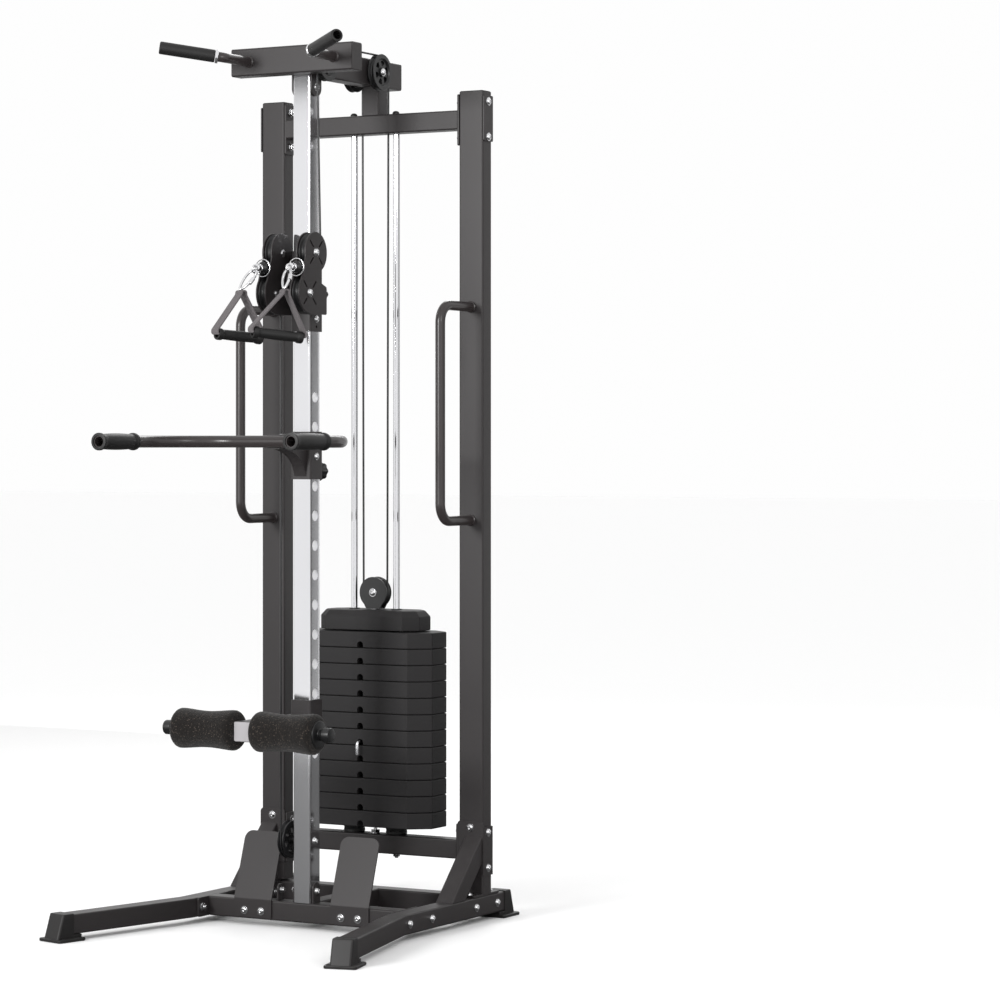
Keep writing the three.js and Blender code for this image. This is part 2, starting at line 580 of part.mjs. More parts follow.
function stackCap() {
  const [bottom, top] = [stackTop + 3, stackTop + 55];
  const options = {
    depth: top - bottom - 16,
    bevelEnabled: true, bevelSegments: 2, bevelSize: 13, bevelThickness: 15, bevelOffset: -13,
  };
  const shape = octagon(150, 63, 34, 34);
  const dome = solid(new THREE.ExtrudeGeometry(shape, options).translate(0, 0, bottom + 1));
  const body = dome.intersect(box([-200, 200], [0, 600], [bottom, top + 50]));
  const bores = [-ROD.x, ROD.x].map((x) => rod(ROD.radius + 2, "z", bottom - 5, top + 5, [x, STACK.y], 14));
  const centre = rod(ROD.radius + GAP, "z", bottom - 5, top + 5, [0, STACK.y], 14);
  return { body: cut(body, ...bores, centre), top };
}
const cap = stackCap();
add("stack_cap", cap.body, CASTING);

/** The rod that the pin engages, with the yoke of the floating pulley on its top. */
function selectorRod() {
  const shaft = rod(ROD.radius, "z", STACK_BOTTOM + 2, cap.top + 8, [0, STACK.y], 14);
  const half = FLOAT.width / 2 + 1.5;
  const cheek = new THREE.Shape();
  cheek.absarc(0, FLOAT.z, FLOAT.radius + 1, -0.9, Math.PI + 0.9, false);
  cheek.lineTo(-18, cap.top + 2).lineTo(18, cap.top + 2).closePath();
  const cheeks = [STACK.y - half - 3, STACK.y + half].map((y) => plateXZ(cheek, [y, y + 3], 10));
  const saddle = box([-17, 17], [STACK.y - half - 2, STACK.y + half + 2], [cap.top + 2, cap.top + 5]);
  const axle = rod(PULLEY.bore, "y", STACK.y - half - 9, STACK.y + half + 9, [0, FLOAT.z]);
  const hollow = rod(FLOAT.radius + 1, "y", STACK.y - half, STACK.y + half, [0, FLOAT.z], 24);
  return join(cut(join(shaft, saddle), hollow), ...cheeks, axle);
}
add("selector_rod", selectorRod(), STEEL);

const pinFront = STACK.y - STACK.halfY;
const pinRoute = rounded([
  [0, STACK.y - ROD.radius - 1, pinZ], [0, pinFront - 14, pinZ], [0, pinFront - 14, pinZ - 34],
], 8, 3);
add("selector_pin", bar(pinRoute, 4.2, 10), STEEL);

for (const [side, x] of [["left", -ROD.x], ["right", ROD.x]]) {
  const [low, high] = [LOWER_BEAM_Z + TUBE / 2 - 19, TOP_BEAM_Z - 11];
  add(`guide_rod_${side}`, rod(ROD.radius, "z", low, high, [x, STACK.y], 16), CHROME);
}

// ---------------------------------------------------------------- sleeves on the post
/** A square sleeve round the post, with a bush at the back for its spring pin. */
function sleeve(bottom, top, knobZ) {
  const inner = POST.half + SLEEVE.clearance;
  const outer = inner + SLEEVE.wall;
  const shell = plateXY(tubeOutline(2 * outer, 2 * outer, [0, POST.y]), [bottom, top]);
  const bush = rod(11, "y", POST.y + outer - 1, POST.y + outer + 9, [0, knobZ], 12);
  const bushBore = rod(5.5, "y", POST.y + outer - 3, POST.y + outer + 12, [0, knobZ], 10);
  const way = box([-inner, inner], [POST.y - inner, POST.y + inner], [bottom - 5, top + 5]);
  return cut(join(shell, bush), way, bushBore);
}
const boltX = (z, reach = 31) => join(
  rod(9, "x", reach - 3, reach + 5, [POST.y, z]), rod(9, "x", -reach - 5, -reach + 3, [POST.y, z]),
);

function addKnob(name, z) {
  const face = POST.y + POST.half + SLEEVE.clearance + SLEEVE.wall + 9;
  const stem = rod(5, "y", face - 12, face + 8, [0, z], 10);
  const knob = new THREE.Shape();
  const lobes = 8;
  for (let k = 0; k < lobes * 4; k++) {
    const angle = (2 * Math.PI * k) / (lobes * 4);
    const radius = 22.5 + 1.5 * Math.cos(lobes * angle);
    knob[k ? "lineTo" : "moveTo"](radius * Math.cos(angle), z + radius * Math.sin(angle));
  }
  knob.closePath();
  const head = plateXZ(knob, [face + 7, face + 27]);
  const nose = rod(12, "y", face + 1, face + 8, [0, z], 12);
  add(name, join(stem, nose, head), PLASTIC);
}

function carriageBody() {
  const knobZ = FIRST_HOLE_Z + 3.5 * HOLE_PITCH;
  const inner = POST.half + SLEEVE.clearance + SLEEVE.wall;
  const wheelHalf = PULLEY.width / 2 + 1.5;
  const sheet = 4;
  const [uy, uz] = CARRIAGE.upper;
  const [ly, lz] = CARRIAGE.lower;
  const lobe = CARRIAGE.lobe;
  const cheekParts = (x0, slotted) => {
    const span = [x0, x0 + sheet];
    const disc = ([y, z]) => rod(lobe, "x", span[0], span[1], [y, z], 24);
    const web = plateYZ(outline([
      [uy, uz - 5], [uy - 22, (uz + lz) / 2 + 8], [ly, lz + 5], [ly, lz - lobe],
      [POST.y - 6, lz - lobe], [POST.y + 10, lz], [POST.y + 10, uz],
    ]), span);
    if (!slotted) return join(disc(CARRIAGE.upper), disc(CARRIAGE.lower), web);
    const slots = [CARRIAGE.upper, CARRIAGE.lower].flatMap((centre) => [0, 1, 2, 3].map((k) => {
      const slot = box([-20, 20], [18, 42], [-2.2, 2.2]);
      const geometry = geometryOf(slot).rotateX(Math.PI / 4 + (k * Math.PI) / 2);
      return solid(geometry.translate(x0 + sheet / 2, ...centre));
    }));
    return cut(join(disc(CARRIAGE.upper), disc(CARRIAGE.lower), web), ...slots);
  };
  const cheeks = [1, -1].flatMap((side) => [LANE - wheelHalf - sheet, LANE + wheelHalf].map((x) =>
    cheekParts(side > 0 ? x : -x - sheet, x > LANE)));
  // Blocks carry the inner cheeks clear of the sleeve, and axles and a rear spacer carry the outer ones.
  const blocks = [1, -1].map((side) => {
    const span = side > 0 ? [inner - 1, LANE - wheelHalf - 1] : [-(LANE - wheelHalf - 1), -inner + 1];
    return box(span, [POST.y - 20, POST.y + 8], [1570, 1700]);
  });
  const reach = LANE + wheelHalf + sheet;
  const axles = [1, -1].flatMap((side) => [CARRIAGE.upper, CARRIAGE.lower].map((centre) => {
    const shaft = side > 0 ? [LANE - wheelHalf - 2, reach] : [-reach, -(LANE - wheelHalf - 2)];
    const head = side > 0 ? [reach - 1, reach + 6] : [-reach - 6, -reach + 1];
    return join(rod(PULLEY.bore, "x", shaft[0], shaft[1], centre), rod(10, "x", head[0], head[1], centre));
  }));
  const shell = sleeve(CARRIAGE.bottom, CARRIAGE.top, knobZ);
  return join(shell, ...cheeks, ...blocks, ...axles, boltX(1541.8, inner));
}
add("carriage", carriageBody(), POWDER);
addKnob("carriage_knob", FIRST_HOLE_Z + 3.5 * HOLE_PITCH);

// ---------------------------------------------------------------- dip bar
function dipBody() {
  const knobZ = DIP.z - HOLE_PITCH / 2;
  const front = POST.y - POST.half - SLEEVE.clearance - SLEEVE.wall;
  const arm = plateXZ(tubeOutline(38, 38, [0, DIP.barZ], 2), [DIP.barY, front + 2]);
  const route = rounded([
    [-DIP.halfWidth, DIP.tipY, DIP.barZ], [-DIP.halfWidth, DIP.barY, DIP.barZ],
    [DIP.halfWidth, DIP.barY, DIP.barZ], [DIP.halfWidth, DIP.tipY, DIP.barZ],
  ], DIP.bend, 9);
  const bores = [-1, 1].map((side) =>
    rod(12, "y", DIP.tipY - 5, DIP.tipY + 40, [side * DIP.halfWidth, DIP.barZ], 14));
  const gusset = new THREE.Shape();
  gusset.moveTo(front + 2, DIP.z - 54).lineTo(front + 2, DIP.barZ - 15).lineTo(DIP.barY + 22, DIP.barZ - 15);
  gusset.quadraticCurveTo(front - 12, DIP.barZ - 24, front + 2, DIP.z - 54);
  const shell = sleeve(DIP.z - 57.7, DIP.z + 62.6, knobZ);
  const bolts = boltX(DIP.z, POST.half + SLEEVE.clearance + SLEEVE.wall);
  return join(shell, arm, cut(bar(route, DIP.tube, 12), ...bores), plateYZ(gusset, [-17, 17], 5), bolts);
}
add("dip_bar", dipBody(), POWDER);
addKnob("dip_knob", DIP.z - HOLE_PITCH / 2);

/** A rubber grip with a collar at each end, slid over the end of the dip bar's tube. */
function dipGrip() {
  const inside = DIP.tube + GAP;
  const profile = [
    [inside, 0], [21.7, 0], [21.7, 8], [18.6, 14], [20.2, 76], [18.6, 138], [21.7, 144], [21.7, 152],
    [inside, 152], [inside, 0],
  ];
  return turned(profile, "y", [DIP.halfWidth, DIP.tipY - 1, DIP.barZ], 20);
}
addPair("dip_grip", dipGrip(), RUBBER);

// ---------------------------------------------------------------- leg hold
function legBody() {
  const knobZ = LEG.z - HOLE_PITCH / 2;
  const front = POST.y - POST.half - SLEEVE.clearance - SLEEVE.wall;
  const arm = plateXZ(tubeOutline(TUBE, TUBE, [0, LEG.z]), [LEG.armEndY, front + 2]);
  const shaft = rod(12, "x", -LEG.foamOut - 1, LEG.foamOut + 1, [LEG.axisY, LEG.z], 14);
  const stop = turned([
    [0, LEG.foamOut + 0.5], [34, LEG.foamOut + 0.5], [34, LEG.foamOut + 5], [14, LEG.foamOut + 6],
    [14, LEG.neckOut], [18, LEG.neckOut + 3], [18, LEG.knobOut - 2], [15, LEG.knobOut], [0, LEG.knobOut],
  ], "x", [0, LEG.axisY, LEG.z], 20);
  const caps = [stop, mirrorX(stop)];
  const shell = sleeve(LEG.z - 60, LEG.z + 60, knobZ);
  return join(shell, arm, shaft, ...caps, boltX(LEG.z, POST.half + SLEEVE.clearance + SLEEVE.wall));
}
add("leg_hold", legBody(), POWDER);
addKnob("leg_knob", LEG.z - HOLE_PITCH / 2);

function foamRoller() {
  const inside = 12.5;
  const [a, b] = [LEG.foamIn, LEG.foamOut];
  const waist = LEG.foamRadius - 5;
  const full = LEG.foamRadius;
  const profile = [
    [inside, a], [full - 8, a], [full - 1, a + 6], [full, a + 16], [waist, (a + b) / 2], [full, b - 16],
    [full - 1, b - 6], [full - 8, b], [inside, b], [inside, a],
  ];
  return turned(profile, "x", [0, LEG.axisY, LEG.z], 20);
}
addPair("foam_roller", foamRoller(), FOAM);

// ---------------------------------------------------------------- cable ends and handles
const BALL = { x: 50, y: -99, z: 1667, radius: 17 };
const APEX = { x: 64, y: -181, z: 1612 };
function cableEnd() {
  const { x, y, z } = BALL;
  const ball = turned([
    [0, -17], [8, -15], [14, -9.5], [17, 0], [14, 9.5], [8, 15], [0, 17],
  ], "y", [x, y, z], 12);
  const collar = rod(9, "y", y - 44, y - 12, [x, z], 10);
  const swivel = rod(14, "y", y - 38, y - 20, [x, z], 8);
  // The snap hook is a link that hangs from the swivel's eye down to the strap.
  const from = new THREE.Vector3(x, y - 42, z);
  const to = new THREE.Vector3(APEX.x, APEX.y, APEX.z + 4);
  const along = to.clone().sub(from);
  const link = new THREE.TorusGeometry(15, 4, 5, 14);
  link.scale(1, along.length() / 34, 1);
  const up = new THREE.Vector3(0, 1, 0);
  const turn = new THREE.Quaternion().setFromUnitVectors(up, along.clone().normalize());
  link.applyQuaternion(turn).translate(...from.clone().add(to).multiplyScalar(0.5).toArray());
  return join(ball, collar, swivel, solid(link));
}
addPair("cable_end", cableEnd(), STEEL);

/**
 * A webbing triangle that ends in a round grip, which points mostly to the front. Turn is its heading,
 * lean is how far the triangle hangs off level, and slide is how far the grip has slid along the strap.
 */
function handleBody(turn, lean, slide) {
  const drop = 112;
  const half = 72;
  const [right, left] = [half + slide, slide - half];
  const loop = new THREE.Shape();
  loop.moveTo(-11, 0).lineTo(11, 0).lineTo(11, -16).lineTo(right, -drop + 8).lineTo(right, -drop - 14);
  loop.lineTo(left, -drop - 14).lineTo(left, -drop + 8).lineTo(-11, -16).closePath();
  const opening = new THREE.Path();
  opening.moveTo(0, -24).lineTo(left + 9, -drop + 2).lineTo(right - 9, -drop + 2).closePath();
  loop.holes.push(opening);
  const strap = plateXZ(loop, [-13, 13]);
  const eye = rod(7, "y", -20, 20, [0, -9], 10);
  const grip = rod(13, "x", left - 4, right + 4, [0, -drop], 16);
  const bores = [[right - 12, right + 8], [left - 8, left + 12]].map(([from, to]) =>
    rod(8, "x", from, to, [0, -drop], 12));
  const body = cut(join(cut(strap, eye), grip), ...bores);
  const geometry = geometryOf(body).translate(0, 0, 9).rotateY(lean).translate(0, 0, -9);
  return solid(geometry.rotateZ(turn).translate(APEX.x, APEX.y, APEX.z - 6));
}
const { degToRad } = THREE.MathUtils;
add("handle_right", handleBody(degToRad(56), degToRad(5.5), -10), WEBBING);
const leftHandle = geometryOf(handleBody(degToRad(68), degToRad(4), 0));
add("handle_left", solid(leftHandle.translate(-2 * APEX.x, 0, 0)), WEBBING);

// ---------------------------------------------------------------- cable
const SEAM = 0.4; // air where two lengths of cable meet
const STUB = 2; // straight bit at the end of a bend, so that both lengths end square
const topZ = TOP_PULLEY.z;
const cable = (name, knots) => add(name, bar(knots, CABLE_R, 6), SHEATH);
const lowFrontY = LOW_PULLEY.y - PULLEY.cable;
const lowRearY = LOW_PULLEY.y + PULLEY.cable;
const dropY = TOP_PULLEY.rightFrontY - PULLEY.cable;
const stackY = TOP_PULLEY.rearY + PULLEY.cable;
const x0 = TOP_PULLEY.x;
cable("cable_left_upper", [
  [-LANE, lowFrontY, LOW_PULLEY.z + STUB],
  ...arcYZ(-LANE, [LOW_PULLEY.y, LOW_PULLEY.z], PULLEY.cable, -Math.PI, 0, 10),
  [-x0, lowRearY, topZ - 30],
  ...arcYZ(-x0, [TOP_PULLEY.leftFrontY, topZ], PULLEY.cable, Math.PI, Math.PI / 2, 5),
  ...arcYZ(-x0, [TOP_PULLEY.rearY, topZ], PULLEY.cable, Math.PI / 2, 0, 5),
  [-x0, stackY, topZ - STUB],
]);
cable("cable_right_upper", [
  [x0, dropY, topZ - STUB],
  ...arcYZ(x0, [TOP_PULLEY.rightFrontY, topZ], PULLEY.cable, Math.PI, Math.PI / 2, 5),
  ...arcYZ(x0, [TOP_PULLEY.rearY, topZ], PULLEY.cable, Math.PI / 2, 0, 5),
  [x0, stackY, topZ - STUB],
]);
const [runLow, runHigh] = [STUB + SEAM, -STUB - SEAM];
cable("cable_left_run", [
  [-LANE, lowFrontY, LOW_PULLEY.z + runLow], [-LANE, lowFrontY, CARRIAGE.lower[1] + runHigh],
]);
cable("cable_right_run", [[x0, dropY, topZ + runHigh], [LANE, dropY, CARRIAGE.upper[1] + runLow]]);
for (const [side, sign] of [["left", -1], ["right", 1]]) {
  cable(`cable_stack_${side}`, [
    [sign * x0, stackY, topZ + runHigh], [sign * FLOAT.cable, stackY, FLOAT.z + runLow],
  ]);
}
cable("cable_float", [
  [-FLOAT.cable, stackY, FLOAT.z + STUB],
  ...Array.from({ length: 11 }, (_, k) => {
    const angle = Math.PI + (Math.PI * k) / 10;
    return [FLOAT.cable * Math.cos(angle), stackY, FLOAT.z + FLOAT.cable * Math.sin(angle)];
  }),
  [FLOAT.cable, stackY, FLOAT.z + STUB],
]);
/** From a carriage pulley's back, round it and straight on to just behind the ball. */
function towardsBall(x, centre, sense) {
  const [dy, dz] = [BALL.y - centre[0], BALL.z - centre[1]];
  const leave = Math.atan2(dz, dy) - sense * Math.acos(PULLEY.cable / Math.hypot(dy, dz));
  const arc = arcYZ(x, centre, PULLEY.cable, 0, leave, 5);
  const [, y, z] = arc.at(-1);
  const rest = 1 - (BALL.radius + 2) / Math.hypot(BALL.y - y, BALL.z - z);
  const start = [x, centre[0] + PULLEY.cable, centre[1] - sense * STUB];
  return [start, ...arc, [x, y + rest * (BALL.y - y), z + rest * (BALL.z - z)]];
}
cable("cable_carriage_left", towardsBall(-LANE, CARRIAGE.lower, 1));
cable("cable_carriage_right", towardsBall(LANE, CARRIAGE.upper, -1));

export default group;
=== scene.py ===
"""Looks for a cable tower home gym: a weight stack, a chrome post with a sliding pulley carriage,
strap handles, a dip bar, a leg hold and a pull-up bar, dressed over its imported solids.

Shapes are given in millimetres and written to the meshes in metres. The user stands in front, at -Y.
"""

from __future__ import annotations

import logging
import math
from collections.abc import Iterable, Sequence
from dataclasses import dataclass
from enum import Enum

import bmesh
import bpy
import numpy as np
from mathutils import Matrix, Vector

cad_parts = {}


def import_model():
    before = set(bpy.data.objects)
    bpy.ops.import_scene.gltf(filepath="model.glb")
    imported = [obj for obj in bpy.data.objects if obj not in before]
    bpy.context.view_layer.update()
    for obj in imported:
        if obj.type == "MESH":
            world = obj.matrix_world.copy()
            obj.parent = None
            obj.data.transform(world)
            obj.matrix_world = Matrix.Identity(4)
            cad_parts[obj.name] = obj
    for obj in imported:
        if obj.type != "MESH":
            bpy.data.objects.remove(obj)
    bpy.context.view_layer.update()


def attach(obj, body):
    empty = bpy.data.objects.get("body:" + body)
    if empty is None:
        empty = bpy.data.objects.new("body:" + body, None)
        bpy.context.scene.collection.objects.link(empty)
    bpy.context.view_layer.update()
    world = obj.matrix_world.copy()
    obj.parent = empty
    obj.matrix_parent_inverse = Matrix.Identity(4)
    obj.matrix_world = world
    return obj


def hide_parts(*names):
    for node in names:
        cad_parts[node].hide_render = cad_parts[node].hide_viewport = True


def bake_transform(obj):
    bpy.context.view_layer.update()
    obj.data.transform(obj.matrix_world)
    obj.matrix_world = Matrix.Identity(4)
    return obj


log = logging.getLogger("cable_tower")

MM = 0.001
Point = tuple[float, float, float]
Tree = bpy.types.NodeTree
Socket = bpy.types.NodeSocket


# ------------------------------------------------------------------ surfaces


@dataclass
class Skin:
    """One closed surface: points in millimetres, faces as index lists, and a UV for each point."""

    points: np.ndarray
    faces: list[Sequence[int]]
    uv: np.ndarray

    def moved(self, by: Point) -> Skin:
        """The same surface, shifted."""
        return Skin(self.points + np.asarray(by, float), self.faces, self.uv)

    def turned(self, matrix: np.ndarray) -> Skin:
        """The same surface, turned by a 3 x 3 matrix."""
        return Skin(self.points @ np.asarray(matrix, float).T, self.faces, self.uv)

    def mirrored(self) -> Skin:
        """The same surface on the other side of X = 0; its faces are put right when it is built."""
        return self.turned(np.diag([-1.0, 1.0, 1.0]))

    def placed(self, axis: Axis, at: Point) -> Skin:
        """The same surface with its own Z laid along an axis, and its origin put at a point."""
        return self.turned(axis.matrix()).moved(at)


class Axis(Enum):
    """The direction that a turned or extruded shape's own Z is laid along."""

    X = "x"
    Y = "y"
    Z = "z"
    BACK_X = "-x"
    BACK_Y = "-y"

    def matrix(self) -> np.ndarray:
        """The rotation, as columns: where own X, Y and Z go."""
        columns = {
            Axis.X: [(0, 1, 0), (0, 0, 1), (1, 0, 0)],
            Axis.Y: [(0, 0, 1), (1, 0, 0), (0, 1, 0)],
            Axis.Z: [(1, 0, 0), (0, 1, 0), (0, 0, 1)],
            Axis.BACK_X: [(0, 0, 1), (0, 1, 0), (-1, 0, 0)],
            Axis.BACK_Y: [(1, 0, 0), (0, 0, 1), (0, -1, 0)],
        }[self]
        return np.array(columns, float).T


def grid(points: np.ndarray, caps: bool, uv: np.ndarray | None = None) -> Skin:
    """A surface over two parameters.

    Args:
        points: rows x columns x 3; the last column repeats the first.
        caps: whether the first and last rows are closed with one face each.
        uv: rows x columns x 2, or None for none.

    Returns:
        The surface, whose face (i, j) joins point (i, j) to its neighbours in both parameters.
    """
    rows, cols = points.shape[:2]
    index = np.arange(rows * cols).reshape(rows, cols)
    corners = [index[:-1, :-1], index[:-1, 1:], index[1:, 1:], index[1:, :-1]]
    faces = np.stack(corners, axis=-1).reshape(-1, 4).tolist()
    if caps:
        faces += [index[0, :-1][::-1].tolist(), index[-1, :-1].tolist()]
    if uv is None:
        uv = np.zeros((rows, cols, 2))
    return Skin(points.reshape(-1, 3), faces, uv.reshape(-1, 2))


def closed(outline: np.ndarray) -> np.ndarray:
    """The outline with its first point repeated at the end."""
    return np.vstack([outline, outline[:1]])


def circle(radius: float, sides: int = 24) -> np.ndarray:
    """A round outline: radius times the cosine and sine of evenly spaced angles."""
    angle = np.arange(sides) * 2 * math.pi / sides
    return radius * np.column_stack([np.cos(angle), np.sin(angle)])


def rounded(
    corners: Sequence[tuple[float, float]], radius: float | Sequence[float], steps: int = 4
) -> np.ndarray:
    """A polygon with an arc at each corner.

    Args:
        corners: the sharp corners, anticlockwise.
        radius: one radius, or one for each corner.
        steps: faces in each arc.

    Returns:
        The outline. Each arc is the circle tangent to both sides, swept from one to the other.
    """
    sharp = np.asarray(corners, float)
    radii = np.broadcast_to(np.asarray(radius, float), len(sharp))
    back = np.roll(sharp, 1, axis=0) - sharp
    on = np.roll(sharp, -1, axis=0) - sharp
    back /= np.linalg.norm(back, axis=1)[:, None]
    on /= np.linalg.norm(on, axis=1)[:, None]
    half = np.arccos(np.clip((back * on).sum(axis=1), -1, 1)) / 2
    reach = (radii / np.tan(half))[:, None]
    middle = back + on
    middle /= np.linalg.norm(middle, axis=1)[:, None]
    centre = sharp + middle * (radii / np.sin(half))[:, None]
    start = sharp + back * reach - centre
    end = sharp + on * reach - centre
    turn = np.arctan2(start[:, 0] * end[:, 1] - start[:, 1] * end[:, 0], (start * end).sum(axis=1))
    angle = np.linspace(0, 1, steps + 1)[None, :] * turn[:, None]
    c, s = np.cos(angle), np.sin(angle)
    x = start[:, :1] * c - start[:, 1:] * s + centre[:, :1]
    y = start[:, :1] * s + start[:, 1:] * c + centre[:, 1:]
    return np.stack([x, y], axis=-1).reshape(-1, 2)


def rounded_box(width: float, height: float, radius: float, steps: int = 4) -> np.ndarray:
    """A rectangle about the origin with round corners."""
    a, b = width / 2, height / 2
    return rounded([(-a, -b), (a, -b), (a, b), (-a, b)], radius, steps)


def inset(outline: np.ndarray, by: float) -> np.ndarray:
    """The outline moved inwards: each point goes along the mean of its sides' normals, over the cosine."""
    before = outline - np.roll(outline, 1, axis=0)
    after = np.roll(outline, -1, axis=0) - outline
    normals = [
        np.column_stack([-d[:, 1], d[:, 0]]) / np.maximum(np.linalg.norm(d, axis=1), 1e-9)[:, None]
        for d in (before, after)
    ]
    mean = normals[0] + normals[1]
    share = 1 + (normals[0] * normals[1]).sum(axis=1)
    return outline + by * mean / np.maximum(share, 0.2)[:, None]


def slab(outline: np.ndarray, low: float, high: float, edge: float = 0.8, steps: int = 2) -> Skin:
    """An outline given thickness, with quarter-round edges.

    Args:
        outline: anticlockwise points in the slab's own X and Y.
        low: the lower face's height.
        high: the upper face's height.
        edge: radius of the rounded edges.
        steps: faces in each quarter round.

    Returns:
        The closed slab; row j of its edge is inset by edge(1 - sin) and raised by edge(1 - cos).
    """
    angle = np.linspace(0, math.pi / 2, steps + 1)
    insets = edge * (1 - np.sin(angle))
    rises = edge * (1 - np.cos(angle))
    levels = [(i, low + r) for i, r in zip(insets, rises)] + [
        (i, high - r) for i, r in zip(insets[::-1], rises[::-1])
    ]
    rows = [np.column_stack([closed(inset(outline, i)), np.full(len(outline) + 1, z)]) for i, z in levels]
    return grid(np.stack(rows), caps=True)


def about_z(angle: float) -> np.ndarray:
    """The rotation by an angle in radians about Z."""
    c, n = math.cos(angle), math.sin(angle)
    return np.array([[c, -n, 0], [n, c, 0], [0, 0, 1]])


def lathe(profile: Sequence[tuple[float, float]], sides: int = 32) -> Skin:
    """A profile of (radius, height) pairs turned about own Z."""
    line = np.asarray(profile, float)
    angle = np.linspace(0, 2 * math.pi, sides + 1)
    x = line[:, :1] * np.cos(angle)
    y = line[:, :1] * np.sin(angle)
    z = np.broadcast_to(line[:, 1:], x.shape)
    distance = np.concatenate([[0], np.cumsum(np.linalg.norm(np.diff(line, axis=0), axis=1))])
    u, v = np.meshgrid(angle * line[:, 0].max() * MM, distance * MM)
    return grid(np.stack([x, y, z], axis=-1), caps=False, uv=np.stack([u, v], axis=-1))


def rod(radius: float, low: float, high: float, steps: int) -> Skin:
    """A plain round bar along Z, from one height to another."""
    return lathe([(0, low), (radius, low), (radius, high), (0, high)], steps)


def sweep(outline: np.ndarray, path: Sequence[Point], up: Point, loop: bool = False) -> Skin:
    """An outline carried along a path that bends in the plane square to `up`.

    Args:
        outline: points across the path, (sideways, upwards), or a set of them for each point of the path.
        path: the points that it follows.
        up: the direction that stays upwards.
        loop: whether the path closes on itself, its last point being its first.

    Returns:
        The surface: each point is path + side x u / cos(half the bend) + rise x v.
    """
    line = np.asarray(path, float)
    unit = np.diff(line, axis=0)
    length = np.linalg.norm(unit, axis=1)
    unit /= length[:, None]
    before = np.vstack([unit[-1:] if loop else unit[:1], unit])
    after = np.vstack([unit, unit[:1] if loop else unit[-1:]])
    tangent = before + after
    tangent /= np.linalg.norm(tangent, axis=1)[:, None]
    side = np.cross(tangent, np.asarray(up, float))
    side /= np.linalg.norm(side, axis=1)[:, None]
    rise = np.cross(side, tangent)
    mitre = 1 / np.sqrt(np.clip((1 + (before * after).sum(axis=1)) / 2, 0.2, 1))
    rings = np.broadcast_to(outline, (len(line), *outline.shape[-2:]))
    rings = np.concatenate([rings, rings[:, :1]], axis=1)
    points = (
        line[:, None]
        + side[:, None] * (rings[..., 0] * mitre[:, None])[..., None]
        + rise[:, None] * rings[..., 1, None]
    )
    along = np.concatenate([[0], np.cumsum(length)])
    round_it = np.concatenate([[0], np.cumsum(np.linalg.norm(np.diff(rings[0], axis=0), axis=1))])
    u, v = np.meshgrid(round_it * MM, along * MM)
    return grid(points, caps=not loop, uv=np.stack([u, v], axis=-1))


def straight(outline: np.ndarray, start: Point, end: Point, up: Point = (0, 0, 1)) -> Skin:
    """An outline carried straight from one point to another."""
    return sweep(outline, [start, end], up)


def bend_path(corners: Sequence[Point], radius: float, steps: int = 8) -> np.ndarray:
    """A route with rounded corners: an arc tangent to both legs stands at each inner corner.

    Args:
        corners: the sharp route.
        radius: the bend radius.
        steps: pieces in each arc.

    Returns:
        The points of the route, each arc found by turning its first radius into its last.
    """
    sharp = np.asarray(corners, float)
    parts = [sharp[:1]]
    for i in range(1, len(sharp) - 1):
        back = sharp[i - 1] - sharp[i]
        on = sharp[i + 1] - sharp[i]
        back /= np.linalg.norm(back)
        on /= np.linalg.norm(on)
        half = math.acos(float(np.clip(back @ on, -1, 1))) / 2
        middle = (back + on) / np.linalg.norm(back + on)
        centre = sharp[i] + middle * radius / math.sin(half)
        start = sharp[i] + back * radius / math.tan(half) - centre
        end = sharp[i] + on * radius / math.tan(half) - centre
        sweep_angle = math.pi - 2 * half
        t = np.linspace(0, 1, steps + 1)[:, None]
        arc = (
            np.sin((1 - t) * sweep_angle) * start + np.sin(t * sweep_angle) * end
        ) / math.sin(sweep_angle)
        parts.append(arc + centre)
    parts.append(sharp[-1:])
    return np.vstack(parts)


def arc_yz(
    x: float, centre: tuple[float, float], radius: float, start: float, end: float, steps: int
) -> np.ndarray:
    """Points of an arc in the plane of Y and Z; angles in degrees from +Y towards +Z."""
    angle = np.radians(np.linspace(start, end, steps + 1))
    return np.column_stack(
        [np.full(steps + 1, x), centre[0] + radius * np.cos(angle), centre[1] + radius * np.sin(angle)]
    )


def mitred(
    outline: np.ndarray, start: Point, end: Point, cut_start: Point, cut_end: Point, up: Point
) -> Skin:
    """A straight bar whose ends are cut by planes through its end points.

    Args:
        outline: points across the bar.
        start: a point of the first plane, on the bar's middle line.
        end: a point of the last plane, on the same line.
        cut_start: the first plane's normal.
        cut_end: the last plane's normal.
        up: the direction that the outline's second number follows.

    Returns:
        The bar: each of its long edges runs between its crossings with the two planes.
    """
    a, b = np.asarray(start, float), np.asarray(end, float)
    along = (b - a) / np.linalg.norm(b - a)
    side = np.cross(along, up)
    side /= np.linalg.norm(side)
    rise = np.cross(side, along)
    ring = closed(outline)
    offset = ring[:, :1] * side + ring[:, 1:] * rise
    rows = []
    for point, normal in ((a, np.asarray(cut_start, float)), (b, np.asarray(cut_end, float))):
        shift = -(offset @ normal) / (along @ normal)
        rows.append(point + offset + shift[:, None] * along)
    return grid(np.stack(rows), caps=True)


# ------------------------------------------------------------------ finishes


def link(tree: Tree, source: Socket, target: Socket) -> None:
    """Joins two sockets."""
    tree.links.new(source, target)


